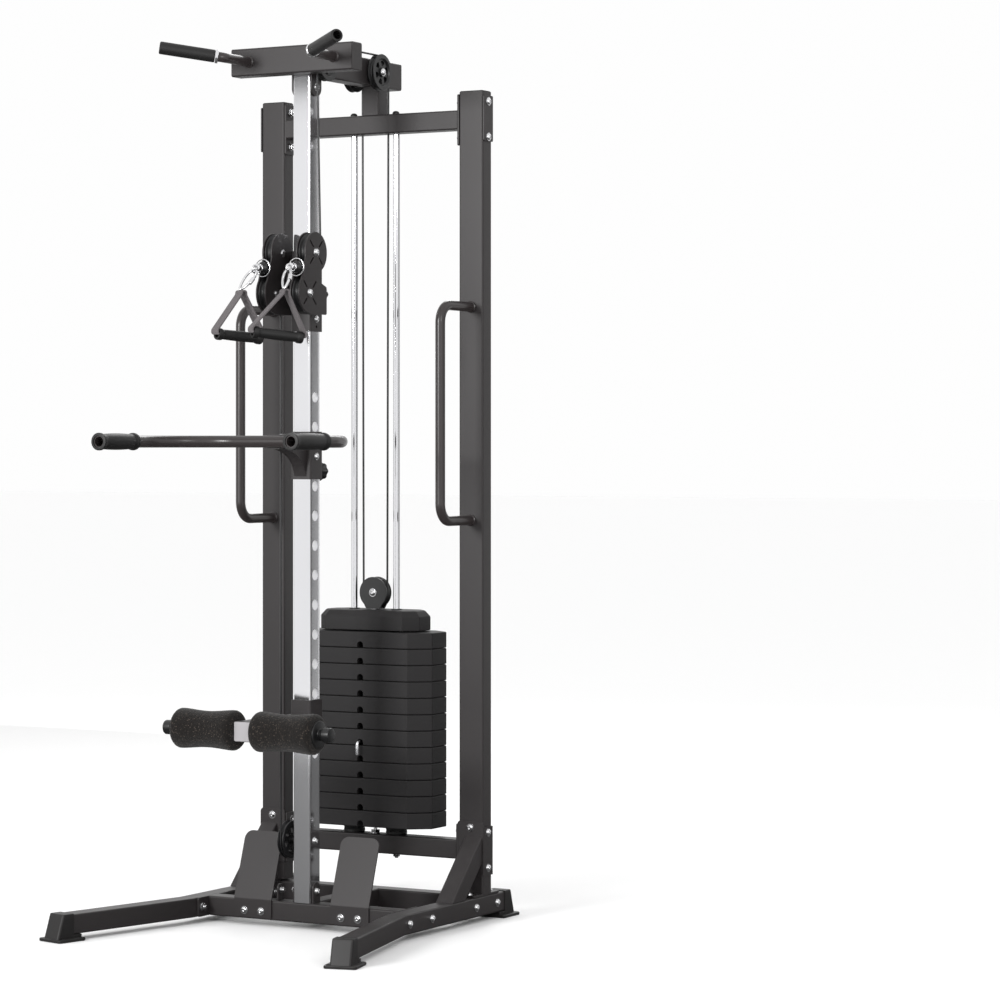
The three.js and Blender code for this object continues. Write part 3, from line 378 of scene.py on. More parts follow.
def group_of(
    name: str, inputs: Iterable[tuple[str, str, float]], outputs: Iterable[tuple[str, str]]
) -> tuple[Tree, bpy.types.Node, bpy.types.Node]:
    """Starts a shader node group.

    Args:
        name: the group's name.
        inputs: (name, socket type, default) of each input.
        outputs: (name, socket type) of each output.

    Returns:
        The tree, its input node and its output node.
    """
    tree = bpy.data.node_groups.new(name, "ShaderNodeTree")
    for label, kind, default in inputs:
        socket = tree.interface.new_socket(label, in_out="INPUT", socket_type=kind)
        if kind == "NodeSocketFloat":
            socket.default_value = default
    for label, kind in outputs:
        tree.interface.new_socket(label, in_out="OUTPUT", socket_type=kind)
    return tree, tree.nodes.new("NodeGroupInput"), tree.nodes.new("NodeGroupOutput")


def math_node(
    tree: Tree, operation: str, a: Socket | float, b: Socket | float = 0.0, clamp: bool = False
) -> Socket:
    """A Math node's output; each operand is a socket or a number."""
    node = tree.nodes.new("ShaderNodeMath")
    node.operation = operation
    node.use_clamp = clamp
    for socket, value in zip(node.inputs, (a, b)):
        if isinstance(value, Socket):
            tree.links.new(value, socket)
        else:
            socket.default_value = value
    return node.outputs[0]


def noise(tree: Tree, scale: Socket | float, detail: float, place: Socket | None = None) -> Socket:
    """A Noise texture over Object coordinates, or over the place given."""
    node = tree.nodes.new("ShaderNodeTexNoise")
    node.inputs["Detail"].default_value = detail
    if place is None:
        place = tree.nodes.new("ShaderNodeTexCoord").outputs["Object"]
    link(tree, place, node.inputs["Vector"])
    if isinstance(scale, Socket):
        link(tree, scale, node.inputs["Scale"])
    else:
        node.inputs["Scale"].default_value = scale
    return node.outputs["Fac"]


def ramp(tree: Tree, value: Socket, low: float, high: float) -> Socket:
    """A smooth step from 0 at `low` to 1 at `high`."""
    node = tree.nodes.new("ShaderNodeMapRange")
    node.interpolation_type = "SMOOTHSTEP"
    node.inputs["From Min"].default_value = low
    node.inputs["From Max"].default_value = high
    link(tree, value, node.inputs["Value"])
    return node.outputs["Result"]


class Effects:
    """The shader node groups that several finishes share, each built once."""

    def __init__(self) -> None:
        """Builds grain, dust and weave."""
        self.grain = self._grain()
        self.dust = self._dust()
        self.weave = self._weave()

    @staticmethod
    def _grain() -> Tree:
        """Fine grain and a slow mottle: two noises for Height, one wide noise for Mottle."""
        tree, given, out = group_of(
            "grain", [("Scale", "NodeSocketFloat", 900.0)],
            [("Height", "NodeSocketFloat"), ("Mottle", "NodeSocketFloat")],
        )
        fine = noise(tree, given.outputs["Scale"], 2.0)
        coarse = noise(tree, math_node(tree, "MULTIPLY", given.outputs["Scale"], 0.35), 2.0)
        link(
            tree,
            math_node(
                tree, "ADD", math_node(tree, "MULTIPLY", fine, 0.6),
                math_node(tree, "MULTIPLY", coarse, 0.4),
            ),
            out.inputs["Height"],
        )
        link(tree, noise(tree, 7.0, 4.0), out.inputs["Mottle"])
        return tree

    @staticmethod
    def _dust() -> Tree:
        """A mask of dust: faces that look up, in soft patches."""
        tree, given, out = group_of(
            "dust", [("Amount", "NodeSocketFloat", 0.2)], [("Mask", "NodeSocketFloat")]
        )
        split = tree.nodes.new("ShaderNodeSeparateXYZ")
        link(tree, tree.nodes.new("ShaderNodeNewGeometry").outputs["Normal"], split.inputs[0])
        up = ramp(tree, split.outputs["Z"], 0.5, 1.0)
        patch = ramp(tree, noise(tree, 25.0, 6.0), 0.35, 0.75)
        link(
            tree,
            math_node(tree, "MULTIPLY", math_node(tree, "MULTIPLY", up, patch), given.outputs["Amount"]),
            out.inputs["Mask"],
        )
        return tree

    @staticmethod
    def _weave() -> Tree:
        """A plain weave over the piece's own UV: two crossed waves, each standing up where the other dips. The
        finish also darkens the colour where this height is low, as painted shade.
        """
        tree, given, out = group_of(
            "weave", [("Scale", "NodeSocketFloat", 400.0)], [("Height", "NodeSocketFloat")]
        )
        split = tree.nodes.new("ShaderNodeSeparateXYZ")
        link(tree, tree.nodes.new("ShaderNodeUVMap").outputs["UV"], split.inputs[0])
        waves = []
        for name in ("X", "Y"):
            phase = math_node(
                tree, "MULTIPLY", math_node(tree, "MULTIPLY", split.outputs[name], given.outputs["Scale"]),
                2 * math.pi,
            )
            waves.append(math_node(tree, "SINE", phase))
        product = math_node(tree, "MULTIPLY", waves[0], waves[1])
        link(
            tree, math_node(tree, "ADD", math_node(tree, "MULTIPLY", product, 0.5), 0.5),
            out.inputs["Height"],
        )
        return tree


class Texture(Enum):
    """What a finish's small relief is."""

    GRAIN = "grain"
    SPECKLE = "speckle"
    WEAVE = "weave"


@dataclass(frozen=True)
class Finish:
    """One material: its colour, gloss and relief."""

    name: str
    slot: str
    colour: Point
    roughness: float
    metallic: float = 0.0
    texture: Texture = Texture.GRAIN
    scale: float = 900.0
    relief: float = 0.1
    depth: float = 0.0002
    fleck: Point = (0.3, 0.3, 0.3)
    dust: float = 0.0
    mottle: float = 0.12
    specular: float = 0.5
    sheen: float = 0.0

    def make(self, effects: Effects) -> bpy.types.Material:
        """Builds the material.

        Args:
            effects: the shared node groups.

        Returns:
            The material, with colour, roughness and bump that vary over Object coordinates.
        """
        material = bpy.data.materials.new(self.name)
        material.use_nodes = True
        tree = material.node_tree
        shader = tree.nodes["Principled BSDF"]
        shader.inputs["Metallic"].default_value = self.metallic
        shader.inputs["Specular IOR Level"].default_value = self.specular
        shader.inputs["Sheen Weight"].default_value = self.sheen
        grain = self._group(tree, effects.grain, "Scale", self.scale)
        height = grain.outputs["Height"]
        colour = self._shade(tree, grain.outputs["Mottle"])
        if self.texture is Texture.WEAVE:
            weave = self._group(tree, effects.weave, "Scale", self.scale)
            height = weave.outputs["Height"]
            # Painted shade: the colour falls to 0.45 of the base in the weave's dips, where shade falls
            # between the threads.
            colour = self._blend(tree, height, colour, tuple(c * 0.45 for c in self.colour), invert=True)
        if self.texture is Texture.SPECKLE:
            height, colour = self._speckle(tree, colour)
        if self.dust:
            mask = self._group(tree, effects.dust, "Amount", self.dust)
            colour = self._blend(tree, mask.outputs["Mask"], colour, (0.30, 0.29, 0.28))
        link(tree, colour, shader.inputs["Base Color"])
        spread = math_node(
            tree, "MULTIPLY", math_node(tree, "SUBTRACT", grain.outputs["Mottle"], 0.5), self.mottle
        )
        link(tree, math_node(tree, "ADD", spread, self.roughness, clamp=True), shader.inputs["Roughness"])
        bump = tree.nodes.new("ShaderNodeBump")
        bump.inputs["Strength"].default_value = self.relief
        bump.inputs["Distance"].default_value = self.depth
        link(tree, height, bump.inputs["Height"])
        link(tree, bump.outputs["Normal"], shader.inputs["Normal"])
        return material

    @staticmethod
    def _group(tree: Tree, group: Tree, socket: str, value: float) -> bpy.types.Node:
        """Places a shared group with its own value."""
        node = tree.nodes.new("ShaderNodeGroup")
        node.node_tree = group
        node.inputs[socket].default_value = value
        return node

    def _shade(self, tree: Tree, mottle: Socket) -> Socket:
        """The base colour, a little lighter and darker over the slow mottle."""
        dark = tuple(c * (1 - self.mottle) for c in self.colour)
        light = tuple(c * (1 + self.mottle) for c in self.colour)
        mix = tree.nodes.new("ShaderNodeMix")
        mix.data_type = "RGBA"
        mix.inputs[6].default_value = (*dark, 1)
        mix.inputs[7].default_value = (*light, 1)
        link(tree, mottle, mix.inputs[0])
        return mix.outputs[2]

    @staticmethod
    def _blend(
        tree: Tree, mask: Socket, colour: Socket, other: Sequence[float], invert: bool = False
    ) -> Socket:
        """Mixes another colour in by a mask, or by one minus the mask."""
        if invert:
            mask = math_node(tree, "SUBTRACT", 1.0, mask, clamp=True)
        mix = tree.nodes.new("ShaderNodeMix")
        mix.data_type = "RGBA"
        link(tree, mask, mix.inputs[0])
        link(tree, colour, mix.inputs[6])
        mix.inputs[7].default_value = (*other, 1)
        return mix.outputs[2]

    def _speckle(self, tree: Tree, colour: Socket) -> tuple[Socket, Socket]:
        """Open foam cells: dark pits between crumbs, a few of which are paler."""
        cells = tree.nodes.new("ShaderNodeTexVoronoi")
        cells.inputs["Scale"].default_value = self.scale
        link(tree, tree.nodes.new("ShaderNodeTexCoord").outputs["Object"], cells.inputs["Vector"])
        crumbs = math_node(tree, "SUBTRACT", 1.0, cells.outputs["Distance"], clamp=True)
        split = tree.nodes.new("ShaderNodeSeparateColor")
        link(tree, cells.outputs["Color"], split.inputs[0])
        pale = ramp(tree, split.outputs[0], 0.70, 0.95)
        flecks = math_node(tree, "MULTIPLY", pale, ramp(tree, crumbs, 0.45, 0.8))
        return crumbs, self._blend(tree, flecks, colour, self.fleck)


FINISHES = {
    f.name: f
    for f in (
        Finish(
            "powder", "powder", (0.020, 0.0172, 0.0176), 0.44, scale=1300, relief=0.35, depth=0.0003,
            dust=0.05, mottle=0.05, specular=0.4,
        ),
        Finish(
            "powder_tube", "powder", (0.024, 0.0195, 0.0195), 0.30, scale=1500, relief=0.15, depth=0.0002,
            dust=0.03, mottle=0.05,
        ),
        Finish(
            "chrome", "chrome", (0.80, 0.80, 0.82), 0.08, metallic=1.0, scale=300, relief=0.015,
            depth=0.0001, mottle=0.03,
        ),
        Finish(
            "steel", "steel", (0.78, 0.78, 0.79), 0.16, metallic=1.0, scale=900, relief=0.05, depth=0.0001,
            mottle=0.06,
        ),
        # Painted reflection: this pale finish goes on the strips inside the post's bore, which stand in for
        # the light that the bright bore reflects out through its holes.
        Finish(
            "bore_reflection_paint", "steel", (0.86, 0.86, 0.87), 0.55, metallic=0.4, scale=700, relief=0.05, depth=0.0001,
            mottle=0.05,
        ),
        # Painted reflection: grey plastic for the leg arm's end plug, its light grey partly its own colour and
        # partly standing in for the lights' reflection on it.
        Finish(
            "grey_plastic_and_painted_reflection", "plastic", (0.30, 0.29, 0.30), 0.5, scale=700, relief=0.1, depth=0.0001,
            mottle=0.05,
        ),
        Finish(
            "dark_steel", "steel", (0.10, 0.10, 0.10), 0.35, metallic=1.0, scale=900, relief=0.05,
            depth=0.0001, mottle=0.08,
        ),
        Finish(
            "plastic", "plastic", (0.0055, 0.0055, 0.006), 0.36, scale=1100, relief=0.12, depth=0.0002,
            dust=0.02,
        ),
        Finish(
            "moulded", "plastic", (0.0085, 0.0075, 0.0075), 0.5, scale=1400, relief=0.3, depth=0.0003,
            dust=0.05, specular=0.4,
        ),
        Finish(
            "rubber", "rubber", (0.0065, 0.0062, 0.0062), 0.5, scale=1600, relief=0.2, depth=0.0002,
            dust=0.02, specular=0.4,
        ),
        Finish(
            "casting", "casting", (0.0125, 0.0115, 0.0120), 0.62, scale=850, relief=0.5, depth=0.0004,
            dust=0.05, mottle=0.10, specular=0.3,
        ),
        Finish(
            "foam", "foam", (0.0065, 0.0052, 0.0045), 0.95, texture=Texture.SPECKLE, scale=330, relief=0.9,
            depth=0.0014, fleck=(0.07, 0.055, 0.045), sheen=0.1, specular=0.2,
        ),
        Finish(
            "webbing", "webbing", (0.125, 0.112, 0.116), 0.8, texture=Texture.WEAVE, scale=420, relief=0.8,
            depth=0.0005, sheen=0.1, specular=0.3,
        ),
        Finish("sheath", "cable", (0.006, 0.006, 0.0065), 0.35, scale=600, relief=0.05, depth=0.0001),
    )
}


# ------------------------------------------------------------------ workshop


class Workshop:
    """Turns surfaces into finished pieces that ride on the frame's bodies."""

    def __init__(self) -> None:
        """Makes the shared effects and every finish."""
        effects = Effects()
        self.materials = {name: finish.make(effects) for name, finish in FINISHES.items()}
        self.made = 0

    @staticmethod
    def mesh(name: str, skins: Sequence[Skin]) -> bpy.types.Mesh:
        """One mesh of several closed surfaces, its seams and poles merged and its faces turned outwards.

        Args:
            name: the mesh's name.
            skins: the surfaces, in millimetres.

        Returns:
            The mesh, in metres, with its UV map.
        """
        starts = np.cumsum([0] + [len(s.points) for s in skins[:-1]])
        points = np.vstack([s.points for s in skins]) * MM
        uv = np.vstack([s.uv for s in skins])
        faces = [[i + start for i in face] for s, start in zip(skins, starts.tolist()) for face in s.faces]
        mesh = bpy.data.meshes.new(name)
        mesh.from_pydata(points.tolist(), [], faces)
        corner = np.empty(len(mesh.loops), np.int32)
        mesh.loops.foreach_get("vertex_index", corner)
        mesh.uv_layers.new(name="UVMap").data.foreach_set("uv", uv[corner].astype(np.float32).ravel())
        work = bmesh.new()
        work.from_mesh(mesh)
        bmesh.ops.remove_doubles(work, verts=work.verts, dist=2e-6)
        bmesh.ops.dissolve_degenerate(work, dist=1e-7, edges=work.edges)
        bmesh.ops.recalc_face_normals(work, faces=work.faces)
        work.to_mesh(mesh)
        work.free()
        return mesh

    @staticmethod
    def settle(obj: bpy.types.Object) -> None:
        """Applies the object's modifiers to its mesh."""
        graph = bpy.context.evaluated_depsgraph_get()
        obj.data = bpy.data.meshes.new_from_object(obj.evaluated_get(graph))
        obj.modifiers.clear()

    def piece(
        self,
        name: str,
        skins: Skin | Sequence[Skin],
        finish: str,
        body: str | None,
        replaces: Sequence[str] = (),
        bevel: float = 0.0,
        cuts: Sequence[Sequence[Skin]] = (),
        smooth: float = 38.0,
    ) -> bpy.types.Object:
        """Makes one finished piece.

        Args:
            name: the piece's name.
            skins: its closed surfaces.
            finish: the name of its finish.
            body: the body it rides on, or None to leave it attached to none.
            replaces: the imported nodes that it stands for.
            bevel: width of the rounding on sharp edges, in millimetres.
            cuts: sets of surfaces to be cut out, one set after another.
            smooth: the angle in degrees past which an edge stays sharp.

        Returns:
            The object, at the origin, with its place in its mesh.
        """
        skins = [skins] if isinstance(skins, Skin) else list(skins)
        obj = bpy.data.objects.new(name, self.mesh(name, skins))
        bpy.context.scene.collection.objects.link(obj)
        for tools in cuts:
            tool = bpy.data.objects.new(name + "_tool", self.mesh(name + "_tool", list(tools)))
            bpy.context.scene.collection.objects.link(tool)
            cut = obj.modifiers.new("cut", "BOOLEAN")
            cut.object = tool
            cut.solver = "EXACT"
            self.settle(obj)
            bpy.data.objects.remove(tool)
        if bevel:
            edge = obj.modifiers.new("edge", "BEVEL")
            edge.width = bevel * MM
            edge.segments = 2
            edge.limit_method = "ANGLE"
            edge.angle_limit = math.radians(38)
            self.settle(obj)
        obj.data.name = name
        obj.data.shade_smooth()
        obj.data.set_sharp_from_angle(angle=math.radians(smooth))
        flat = obj.modifiers.new("flat", "WEIGHTED_NORMAL")
        flat.keep_sharp = True
        obj.data.materials.clear()
        obj.data.materials.append(self.materials[finish])
        if replaces:
            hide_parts(*replaces)
        if body:
            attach(obj, body)
        self.made += 1
        log.info("%s: %d faces, %s, rides %s", name, len(obj.data.polygons), finish, body)
        return obj

    def pair(self, name: str, skins: Skin | Sequence[Skin], finish: str, body: str, **options) -> None:
        """Makes a piece on the user's right and its mirror image on the left; names in options end in {}."""
        skins = [skins] if isinstance(skins, Skin) else list(skins)
        replaces = options.pop("replaces", ())
        cuts = options.pop("cuts", ())
        for side, flip in (("right", False), ("left", True)):
            turned = [s.mirrored() if flip else s for s in skins]
            tools = [[s.mirrored() if flip else s for s in group] for group in cuts]
            nodes = [n.format(side) for n in replaces]
            self.piece(
                f"{name}_{side}", turned, finish, body.format(side), replaces=nodes, cuts=tools, **options
            )


# ------------------------------------------------------------------ small parts


@dataclass(frozen=True)
class Bolt:
    """A button-head bolt with a hexagon socket, on a washer."""

    head: float = 8.5
    height: float = 5.5
    washer: float = 11.0

    def skins(self, axis: Axis, at: Point) -> list[Skin]:
        """The washer and head, standing on the point."""
        r, h = self.head, self.height
        washer = lathe(
            [(0, -0.3), (self.washer - 0.4, -0.3), (self.washer, 0.3), (self.washer - 0.4, 1.4), (0, 1.4)],
            24,
        )
        dome = [(0, 1), (r, 1), (r, 2.2)]
        dome += [(r * math.cos(a), 2.2 + (h - 1.5) * math.sin(a)) for a in np.radians([25, 45, 60])]
        dome += [(r * 0.42, h + 0.6), (r * 0.40, h - 2), (0, h - 2)]
        return [washer.placed(axis, at), lathe(dome, 20).placed(axis, at)]


@dataclass(frozen=True)
class Nut:
    """A hexagon nut with the end of its bolt standing out."""

    across: float = 17.0
    height: float = 8.0

    def skins(self, axis: Axis, at: Point) -> list[Skin]:
        """The nut, the washer under it and the thread's end."""
        hexagon = circle(self.across / math.sqrt(3), 6)
        washer = rod(self.across * 0.62, 0, 1.4, 20)
        stud = lathe(
            [(0, 0), (4.8, 0), (4.8, self.height + 3), (4, self.height + 4), (0, self.height + 4)], 14
        )
        return [s.placed(axis, at) for s in (washer, slab(hexagon, 1, self.height, 0.8), stud)]


@dataclass(frozen=True)
class Wheel:
    """A moulded cable pulley with a hub, windows and a rounded groove."""

    radius: float = 47.5
    cable: float = 43.5
    width: float = 18.0
    bore: float = 6.4
    windows: int = 6

    def skin(self) -> Skin:
        """The turned wheel: rim, groove, recessed web and hub."""
        r, w = self.radius, self.width / 2
        floor = self.cable - 2.75
        half = [
            (self.bore, w), (11.5, w), (12.5, w - 0.8), (13, w - 4), (r - 14.5, w - 4.5), (r - 12, w - 1.2),
            (r - 10.5, w), (r - 1.2, w), (r, w - 1), (r, w - 2.6), (r - 0.8, w - 3.4),
            (floor + 1.4, 3.2), (floor, 1.4), (floor, 0),
        ]
        other = [(a, -b) for a, b in half[-2::-1]]
        return lathe([*half, *other, half[0]], 56)

    def cutters(self) -> list[Skin]:
        """The windows: rounded sectors between the hub and the rim."""
        found = []
        for k in range(self.windows):
            start = 2 * math.pi * k / self.windows
            span = math.radians(36)
            outer = [(0.66 * self.radius, start + span * t) for t in (0, 0.5, 1)]
            inner = [(0.36 * self.radius, start + span * t) for t in (0.85, 0.15)]
            corners = [(r * math.cos(a), r * math.sin(a)) for r, a in (*outer, *inner)]
            found.append(slab(rounded(corners, [2.5, 0.5, 2.5, 2, 2], 3), -self.width, self.width, 0.1, 1))
        return found

    def build(self, shop: Workshop, node: str, body: str, axis: Axis, at: Point) -> None:
        """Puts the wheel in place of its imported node."""
        cuts = [[c.placed(axis, at) for c in self.cutters()]] if self.windows else []
        shop.piece(
            node + "_wheel", self.skin().placed(axis, at), "plastic", body, replaces=[node], cuts=cuts
        )


@dataclass(frozen=True)
class Sleeve:
    """A square sleeve that slides on the post, with a spring pin and its knob at the back."""

    node: str
    body: str
    bottom: float
    top: float
    knob_z: float
    bolts: tuple[float, ...]
    outer: float = 59.0
    inner: float = 51.0
    post_y: float = 24.0

    def wall(self) -> Skin:
        """The sleeve's outside."""
        return straight(
            rounded_box(self.outer, self.outer, 5), (0, self.post_y, self.bottom),
            (0, self.post_y, self.top), (0, 1, 0),
        )

    def way(self) -> Skin:
        """The square hole that the post runs in."""
        return straight(
            rounded_box(self.inner, self.inner, 2.5), (0, self.post_y, self.bottom - 5),
            (0, self.post_y, self.top + 5), (0, 1, 0),
        )

    def knob(self, shop: Workshop) -> None:
        """The pull knob: its radius is r(t)(1 + a(t) cos 8 angle), flared towards the back."""
        face = self.post_y + self.outer / 2 + 9
        body = self.body + "_pin"
        t = np.array([0, 0, 2, 8, 14, 18, 21, 21, 21.0])
        radius = np.array([0, 10, 12, 14.5, 20, 23.5, 22.5, 20, 0.0])
        lobes = np.array([0, 0, 0.01, 0.03, 0.05, 0.06, 0.06, 0.03, 0.0])
        angle = np.linspace(0, 2 * math.pi, 97)
        r = radius[:, None] * (1 + lobes[:, None] * np.cos(8 * angle))
        z = np.broadcast_to(t[:, None], r.shape)
        head = grid(np.stack([r * np.cos(angle), r * np.sin(angle), z], axis=-1), caps=False)
        shop.piece(
            self.node + "_knob_head", head.placed(Axis.Y, (0, face + 7, self.knob_z)), "plastic", body,
            replaces=[self.knob_node()],
        )
        stem = lathe([(0, -12), (5, -12), (5.3, -2), (7, -2), (7, 6), (8.5, 6.5), (8.5, 9), (0, 9)], 24)
        shop.piece(self.node + "_knob_stem", stem.placed(Axis.Y, (0, face, self.knob_z)), "steel", body)
        bush = lathe([(5.6, -9.2), (10, -9.2), (10, -1.5), (9, 0), (5.6, 0), (5.6, -9.2)], 24)
        shop.piece(self.node + "_bush", bush.placed(Axis.Y, (0, face, self.knob_z)), "steel", self.body)

    def knob_node(self) -> str:
        """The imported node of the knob."""
        return {"carriage": "carriage_knob", "dip_bar": "dip_knob", "leg_hold": "leg_knob"}[self.node]

    def fixings(self, shop: Workshop) -> None:
        """Screws that hold the plastic liner, on both sides."""
        half = self.outer / 2
        skins = []
        for z in self.bolts:
            skins += Bolt(7.5, 4.5, 9.5).skins(Axis.X, (half, self.post_y, z))
            skins += Bolt(7.5, 4.5, 9.5).skins(Axis.BACK_X, (-half, self.post_y, z))
        shop.piece(self.node + "_screws", skins, "steel", self.body)


# ------------------------------------------------------------------ the floor frame


@dataclass
class Base:
    """Rails, feet, cross beams and foot plates."""

    rail_x: float = 311.0
    tube: float = 50.0
    corner: float = 4.5
    middle_z: float = 41.0
    post_y: float = 24.0
    rear_y: float = 361.0
    beam_end: float = 281.0
    bend_y: float = -56.0
    splay: float = 13.6
    reach: float = 511.0
    cap_length: float = 59.0
    flange: float = 86.0
    flange_width: float = 82.0
    body: str = "frame"

    def tip(self, back: float) -> tuple[float, float]:
        """A point on the splayed part's middle line, measured back from the front of the flange."""
        angle = math.radians(self.splay)
        length = (
            self.reach - self.flange_width / 2 * math.sin(angle) + self.bend_y
        ) / math.cos(angle) - back
        return self.rail_x + math.sin(angle) * length, self.bend_y - math.cos(angle) * length

    def rails(self, shop: Workshop) -> None:
        """Two square tubes, each bent outwards ahead of the post, and the bolts through them."""
        x, y = self.tip(self.cap_length)
        path = [
            (self.rail_x, self.reach - self.cap_length, self.middle_z),
            (self.rail_x, self.bend_y, self.middle_z), (x, y, self.middle_z),
        ]
        shop.pair(
            "rail", sweep(rounded_box(self.tube, self.tube, self.corner), path, (0, 0, 1)), "powder",
            self.body, replaces=["base_rail_{}"],
        )
        outer, inner = [], []
        for y in (-31, 79, 306, 417):
            outer += Bolt().skins(Axis.X, (self.rail_x + 25, y, self.middle_z))
            inner += Nut().skins(Axis.BACK_X, (self.rail_x - 30.5, y, self.middle_z))
        shop.pair("rail_bolts", outer, "steel", self.body)
        shop.pair("rail_nuts", inner, "steel", self.body)

    def foot(self) -> list[Skin]:
        """A moulded foot: a sloping block over a rounded flange, its front edge at own Y = 0."""
        flange = slab(rounded_box(self.flange_width, self.flange, 7), 0, 8, 2.5, 3).moved(
            (0, -self.flange / 2, 0)
        )
        heights = np.array([7, 20, 40, 60, 66, 67.6, 68])
        insets = np.array([0, 0, 0, 0, 0.3, 1.2, 3.0])
        front = np.interp(heights, [7, 68], [-5, -24])
        rear = -self.cap_length + 0.3
        rows = []
        for z, by, y in zip(heights, insets, front):
            box = rounded([(-27, rear), (27, rear), (27, y), (-27, y)], [1.5, 1.5, 6, 6], 4)
            rows.append(np.column_stack([closed(inset(box, by)), np.full(len(box) + 1, z)]))
        tongue = slab(rounded_box(54, 27, 3), 7, 15.7, 1, 2).moved((0, -71, 0))
        return [flange, grid(np.stack(rows), caps=True), tongue]

    def feet(self, shop: Workshop) -> None:
        """Four feet: two turned with the splayed tubes, two square at the back."""
        x, y = self.tip(0)
        angle = math.pi + math.radians(self.splay)
        turn = about_z(angle)
        front = [s.turned(turn).moved((x, y, 0)) for s in self.foot()]
        rear = [s.moved((self.rail_x, self.reach, 0)) for s in self.foot()]
        shop.pair("front_foot", front, "moulded", self.body, replaces=["foot_front_{}"])
        shop.pair("rear_foot", rear, "moulded", self.body, replaces=["foot_rear_{}"])

    def beams(self, shop: Workshop) -> None:
        """Front, rear and centre beams, their end plates, and the tabs at the post's foot."""
        z = self.middle_z
        tube = rounded_box(self.tube, self.tube, self.corner)
        end, places = self.beam_end, (self.post_y, self.rear_y)
        skins = [straight(tube, (-end, y, z), (end, y, z)) for y in places]
        skins.append(straight(tube, (0, 48, z), (0, 337, z)))
        for y in places:
            plate = slab(rounded_box(144, 50, 6), end - 0.3, end + 4.7, 0.8)
            skins += [plate.placed(Axis.X, (0, y, z)), plate.placed(Axis.X, (0, y, z)).mirrored()]
        tab = slab(
            rounded([(-17, 0), (17, 0), (17, 54), (-17, 54)], [1, 1, 16.5, 16.5], 8), 25.3, 30.3, 0.8
        ).placed(Axis.X, (0, self.post_y, 64))
        skins += [tab, tab.mirrored()]
        lug = slab(
            rounded([(-14, 0), (14, 0), (14, 44), (-14, 44)], [1, 1, 12, 12], 6), -81.5, -76.5, 0.8
        ).placed(Axis.X, (0, self.post_y, 64))
        skins.append(lug)
        shop.piece("base_beams", skins, "powder", self.body, replaces=["base_frame"])
        bolts = Bolt().skins(Axis.X, (30.3, self.post_y, 95)) + Nut().skins(
            Axis.BACK_X, (-30.3, self.post_y, 95)
        )
        bolts += Bolt(6.5, 4.5, 9).skins(Axis.BACK_X, (-81.5, self.post_y, 92))
        bolts += Nut(13, 6).skins(Axis.X, (-76.5, self.post_y, 92))
        shop.piece("post_foot_bolts", bolts, "steel", self.body)

    def foot_plates(self, shop: Workshop) -> None:
        """Two bent sheets to brace the feet on.

        The half width w(s) falls by r - sqrt(r^2 - (r - d)^2) at a distance d < r from an end.
        """
        path = bend_path([(144, -3.3, 20), (144, -3.3, 68), (144, 53, 234.5)], 12, 5)
        step = np.concatenate([[0], np.cumsum(np.linalg.norm(np.diff(path, axis=0), axis=1))])
        total = step[-1]
        half_width, foot_radius, top_radius = 56, 6, 22
        ease = 1 - np.cos(np.linspace(0, math.pi / 2, 7))
        between = step[(step > foot_radius) & (step < total - top_radius)]
        s = np.unique(np.round(np.concatenate([ease * foot_radius, between, total - ease * top_radius]), 4))
        line = np.column_stack([np.interp(s, step, path[:, i]) for i in range(3)])
        tangent = np.gradient(line, s, axis=0)
        tangent /= np.linalg.norm(tangent, axis=1)[:, None]
        normal = np.cross(tangent, (1, 0, 0))
        half = np.full(len(s), float(half_width))
        for radius, distance in ((foot_radius, s), (top_radius, total - s)):
            share = 1 - np.minimum(distance / radius, 1)
            half -= radius * (1 - np.sqrt(np.maximum(1 - share**2, 0)))
        ring = closed(rounded_box(2, 4, 0.02, 2))
        points = line[:, None] + ring[None, :, :1] * half[
            :, None, None
        ] * np.array([1.0, 0, 0]) + ring[None, :, 1:] * normal[:, None]
        shop.pair(
            "foot_plate", grid(points, caps=True), "powder", self.body, replaces=["foot_plate_{}"],
            bevel=0.8,
        )
        bolts = Bolt().skins(Axis.BACK_Y, (119, -5.4, 38)) + Bolt().skins(Axis.BACK_Y, (169, -5.4, 38))
        shop.pair("foot_plate_bolts", bolts, "steel", self.body)

    def build(self, shop: Workshop) -> None:
        """Makes the whole base."""
        self.rails(shop)
        self.feet(shop)
        self.beams(shop)
        self.foot_plates(shop)


# ------------------------------------------------------------------ the uprights


